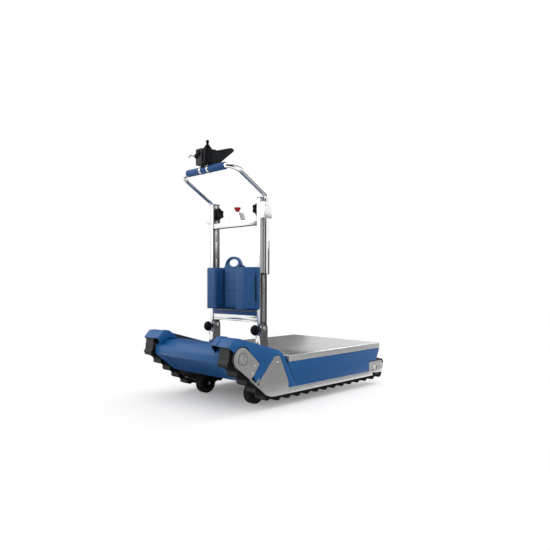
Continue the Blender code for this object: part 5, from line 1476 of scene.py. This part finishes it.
case = plate([battery_outline()], "top", BATTERY_LOW, BATTERY_TOP, 0.004, 3)
view_half = BATTERY_HALF + 0.0002
front_view = oblong((-view_half, BATTERY_LOW - 0.0001), (view_half, BATTERY_TOP + 0.0001), CORNER, 8)
case = carved(case, plate([front_view], "front", BATTERY_BACK - 0.1, BATTERY_BACK + 0.05, 0), "INTERSECT")
for side, _ in SIDES:
    for height, way in ((BATTERY_TOP, 1), (BATTERY_LOW, -1)):
        case = carved(case, corner_cutter(side, height, way))
piece("battery_case", [case, battery_handle()], "battery_shell", "battery", ["battery_pack"], 40)

# %% Battery fittings
def on_battery(low, high, edge, steps=2):
    """A block whose depths are counted from the battery's back."""
    back = Vector((0, BATTERY_BACK, 0))
    return block(Vector(low) + back, Vector(high) + back, edge, steps)


FITTINGS = (
    # A darker blue strip beside the left ridge is painted shade on the recess.
    ("battery_groove", "shell_shadow", [((-0.07, -0.015, 0.44), (-0.055, -0.01, 0.618), 0.002, 3)]),
    # The slot is a black strip on the surface that paints the shade inside it.
    ("battery_slot", "black_plastic",
     [((WING_X + 0.003, -0.0185, 0.47), (WING_X + 0.009, -0.015, 0.59), 0.0016, 3)]),
    ("battery_latch", "black_plastic",
     [((0.048, -0.014, BATTERY_TOP - 0.001), (0.084, -0.003, BATTERY_TOP + 0.008), 0.002, 3)]),
    ("battery_foot", "black_plastic",
     [((-0.15, -0.046, BATTERY_LOW - 0.0001), (0.15, -0.004, BATTERY_LOW + 0.0035), 0.001)]),
    ("battery_lines", "black_plastic",
     [((-0.064, -0.01225, height - 0.0006), (0.064, -0.011, height + 0.0006), 0.0002, 1)
      for height in (0.559, 0.516)]))
for name, finish_name, blocks in FITTINGS:
    piece(name, [on_battery(*sizes) for sizes in blocks], finish_name, "battery")

# %% [markdown]
# ## The handle
#
# One chrome tube makes the whole handle: up from its feet, forward over two bends and across. The
# flat bars beside the legs keep it from turning in the clamps.

# %% Tube, bars and sleeve
HANDLE_X, HANDLE_Y, LEG_LOW, LEG_BEND = 0.19775, -0.2325, 0.598, 0.961
GRIP_Y, GRIP_Z, TUBE_RADIUS = -0.4335, 1.081, 0.0125
route = rounded([(HANDLE_X, HANDLE_Y, LEG_LOW), (HANDLE_X, HANDLE_Y, LEG_BEND), (HANDLE_X, GRIP_Y, GRIP_Z),
                 (0, GRIP_Y, GRIP_Z)], [0, 0.042, 0.056, 0], 14, closed=False)[:-1]
route += [Vector((-x, y, z)) for x, y, z in reversed(route)]
piece("chrome_handle", sweep(route, TUBE_RADIUS, 7), "chrome", "handle", ["handle_tube"], 50)
bars, plugs = [], []
plug = mm((0, 0), (10.5, 0), (12, 1.2), (12, 4), (0, 4))
for side, _ in SIDES:
    bars += [block((side * 0.18405, HANDLE_Y - 0.0287, LEG_LOW + 0.004),
                   (side * 0.18655, HANDLE_Y + 0.0035, 0.949), 0.0006),
             block((side * 0.186, HANDLE_Y - 0.003, LEG_LOW + 0.006),
                   (side * 0.188, HANDLE_Y + 0.003, 0.92), 0.0004)]
    plugs.append(turned(plug, "z", (side * HANDLE_X, HANDLE_Y, LEG_LOW - 0.003), 32))
piece("slide_bars", bars, "slide_metal", "handle")
piece("leg_plugs", plugs, "black_plastic", "handle")


def sleeve_form():
    """The rubber sleeve, with rolled ends and a line of shallow rings near each end."""
    half, hole, out = 0.1375, TUBE_RADIUS + 0.0002, 0.017
    profile = [(hole, half), (out - 0.002, half), (out - 0.0006, half - 0.0006), (out, half - 0.002)]
    for station in (half - 0.01, half - 0.016, half - 0.022):
        profile += [(out, station + 0.0012), (out - 0.0005, station), (out, station - 0.0012)]
    return turned(mirrored(profile), "x", (0, GRIP_Y, GRIP_Z), 48)


piece("rubber_sleeve", sleeve_form(), "grip_rubber", "handle", ["grip_sleeve"])

# %% Tube clamps
def cap_screws(side):
    return [button_screw((side * 0.21525, HANDLE_Y - 0.0215, height), outward(side), 0.0045, 0.002)
            for height in (0.87, 0.916)]


refined("handle_clamp", "tube_clamp", "cross_metal", "column", 0.0012, 3)
pair("clamp_cap_screws", cap_screws, "fastener_steel", "column")

# %% [markdown]
# ## The controls
#
# The joystick's housing has the side view of a shoe, with a wing that rises to the rear. A
# rubber bellows joins the stick to it. Beside it sits the switch box with a thin hooked lever.

# %% Joystick housing
POD_BASE, POD_TOP, POD_X, POD_RADIUS = 1.0988, 1.1768, 0.029, 0.0192
STICK = (POD_X, GRIP_Y - 0.015, POD_TOP - 0.0028)


def wing_outline():
    """The wing behind the stick, which rises to the rear and ends in a blunt tip."""
    corners = mm((-444, 1094), (-444, 1167.3), (-426.4, 1169.9), (-406.2, 1168.2), (-368.4, 1179.7),
                 (-322.6, 1193.6), (-304, 1190.6), (-304, 1180.1), (-377.4, 1121), (-398, 1099))
    return rounded(corners, [0.002, 0.003, 0.01, 0.01, 0.02, 0.004, 0.003, 0.003, 0.01, 0.004], 5)


def column_form():
    """The round column that holds the stick, with a bore for the bellows."""
    low, top, radius = POD_BASE, POD_TOP, POD_RADIUS
    profile = [(0, low), (radius - 0.002, low), (radius, low + 0.002), (radius, top - 0.002),
               (radius - 0.0006, top - 0.0006), (0.0165, top), (0.0158, top - 0.0006), (0.0158, top - 0.024),
               (0, top - 0.024)]
    return turned(profile, "z", (*STICK[:2], 0), 56)


wing = plate([wing_outline()], "side", POD_X - 0.021, POD_X + 0.021, 0.0035, 4)
well = turned(mm((0, 10), (16.2, 10), (16.2, -30), (0, -30)), "z", (*STICK[:2], POD_TOP), 48)
piece("joystick_housing", [carved(wing, well), column_form()], "black_plastic", "handle", ["control_pod"], 40)

# %% Stick and bellows
def bellows_form():
    """A cone of rings under the stick, on a ball about the pivot that stays in its bore when it tilts."""
    profile = mm((0, 17.5), (6.2, 17.2))
    for radius, height in ((0.0088, 0.0142), (0.0112, 0.0108), (0.0134, 0.0076), (0.0148, 0.0048)):
        profile += [(radius, height), (radius - 0.0012, height - 0.0012)]
    return turned(profile + mm((13.2, 0), (11.8, -6.5), (0, -10)), "z", STICK, 48)


stick = turned(mm((0, 37), (5.2, 36.8), (6.8, 35.8), (7.2, 34), (7, 25), (6.2, 22.2), (5, 20.5),
                  (4.8, 15), (0, 15)), "z", STICK, 40)
gimbal = turned(mm((13.4, 2), (15.2, 2), (15.2, -2), (13.4, -2)), "z", STICK, 48)
piece("stick_and_bellows", [bellows_form(), stick], "black_plastic", "joystick", ["joystick"], 45)
piece("gimbal_ring", gimbal, "grey_plastic", "joystick_gimbal", ["joystick_gimbal"])

# %% Switch box and lever
FACE_Y = GRIP_Y - 0.032
LEVER = Vector((-0.03, FACE_Y - 0.0003, GRIP_Z + 0.062))
box = block((-0.04, FACE_Y, 1.101), (0.006, GRIP_Y + 0.006, 1.177), 0.004, 4)
piece("switch_housing", box, "grey_plastic", "handle", ["switch_box"])
switch = mm((0, 6), (11.5, 6), (13.5, 4.8), (14.2, 1.4), (16, 1), (16.8, 0), (0, 0))
piece("round_switch", turned(switch, "-y", (-0.0165, FACE_Y, 1.155), 44), "black_plastic", "handle")
hub = mm((0, 8), (8.5, 8), (10.5, 6.8), (11, 5), (11, 0), (0, 0))
hook = [LEVER - Vector(offset) for offset in ((0, 0.005, 0), (0.018, 0.009, -0.003), (0.029, 0.017, -0.006),
                                              (0.031, 0.02, 0.005))]
hook = rounded(hook, [0, 0.012, 0.005, 0], 8, closed=False)
piece("hooked_lever", [turned(hub, "-y", LEVER, 40), sweep(hook, 0.0021, 4)], "black_plastic", "speed_lever",
      ["speed_lever"], 45)

# %% Bands round the grip
def band_forms(x):
    """A steel band with an ear under the housing."""
    ring = turned(mirrored(mm((17.3, 7), (18.4, 7), (19, 6))), "x", (x, GRIP_Y, GRIP_Z), 48)
    ear = block((x - 0.006, GRIP_Y - 0.013, GRIP_Z + 0.012),
                (x + 0.006, GRIP_Y + 0.005, POD_BASE + 0.003), 0.0015)
    return [ring, ear]


piece("grip_bands", band_forms(0.0245) + band_forms(-0.03), "profile_bright", "handle")
screw_head = turned(mm((0, 7.5), (5, 7.5), (6.6, 6), (7, 0), (0, 0)), "-y",
                    (-0.003, GRIP_Y - 0.012, GRIP_Z + 0.015), 32)
piece("band_screw", screw_head, "black_plastic", "handle")
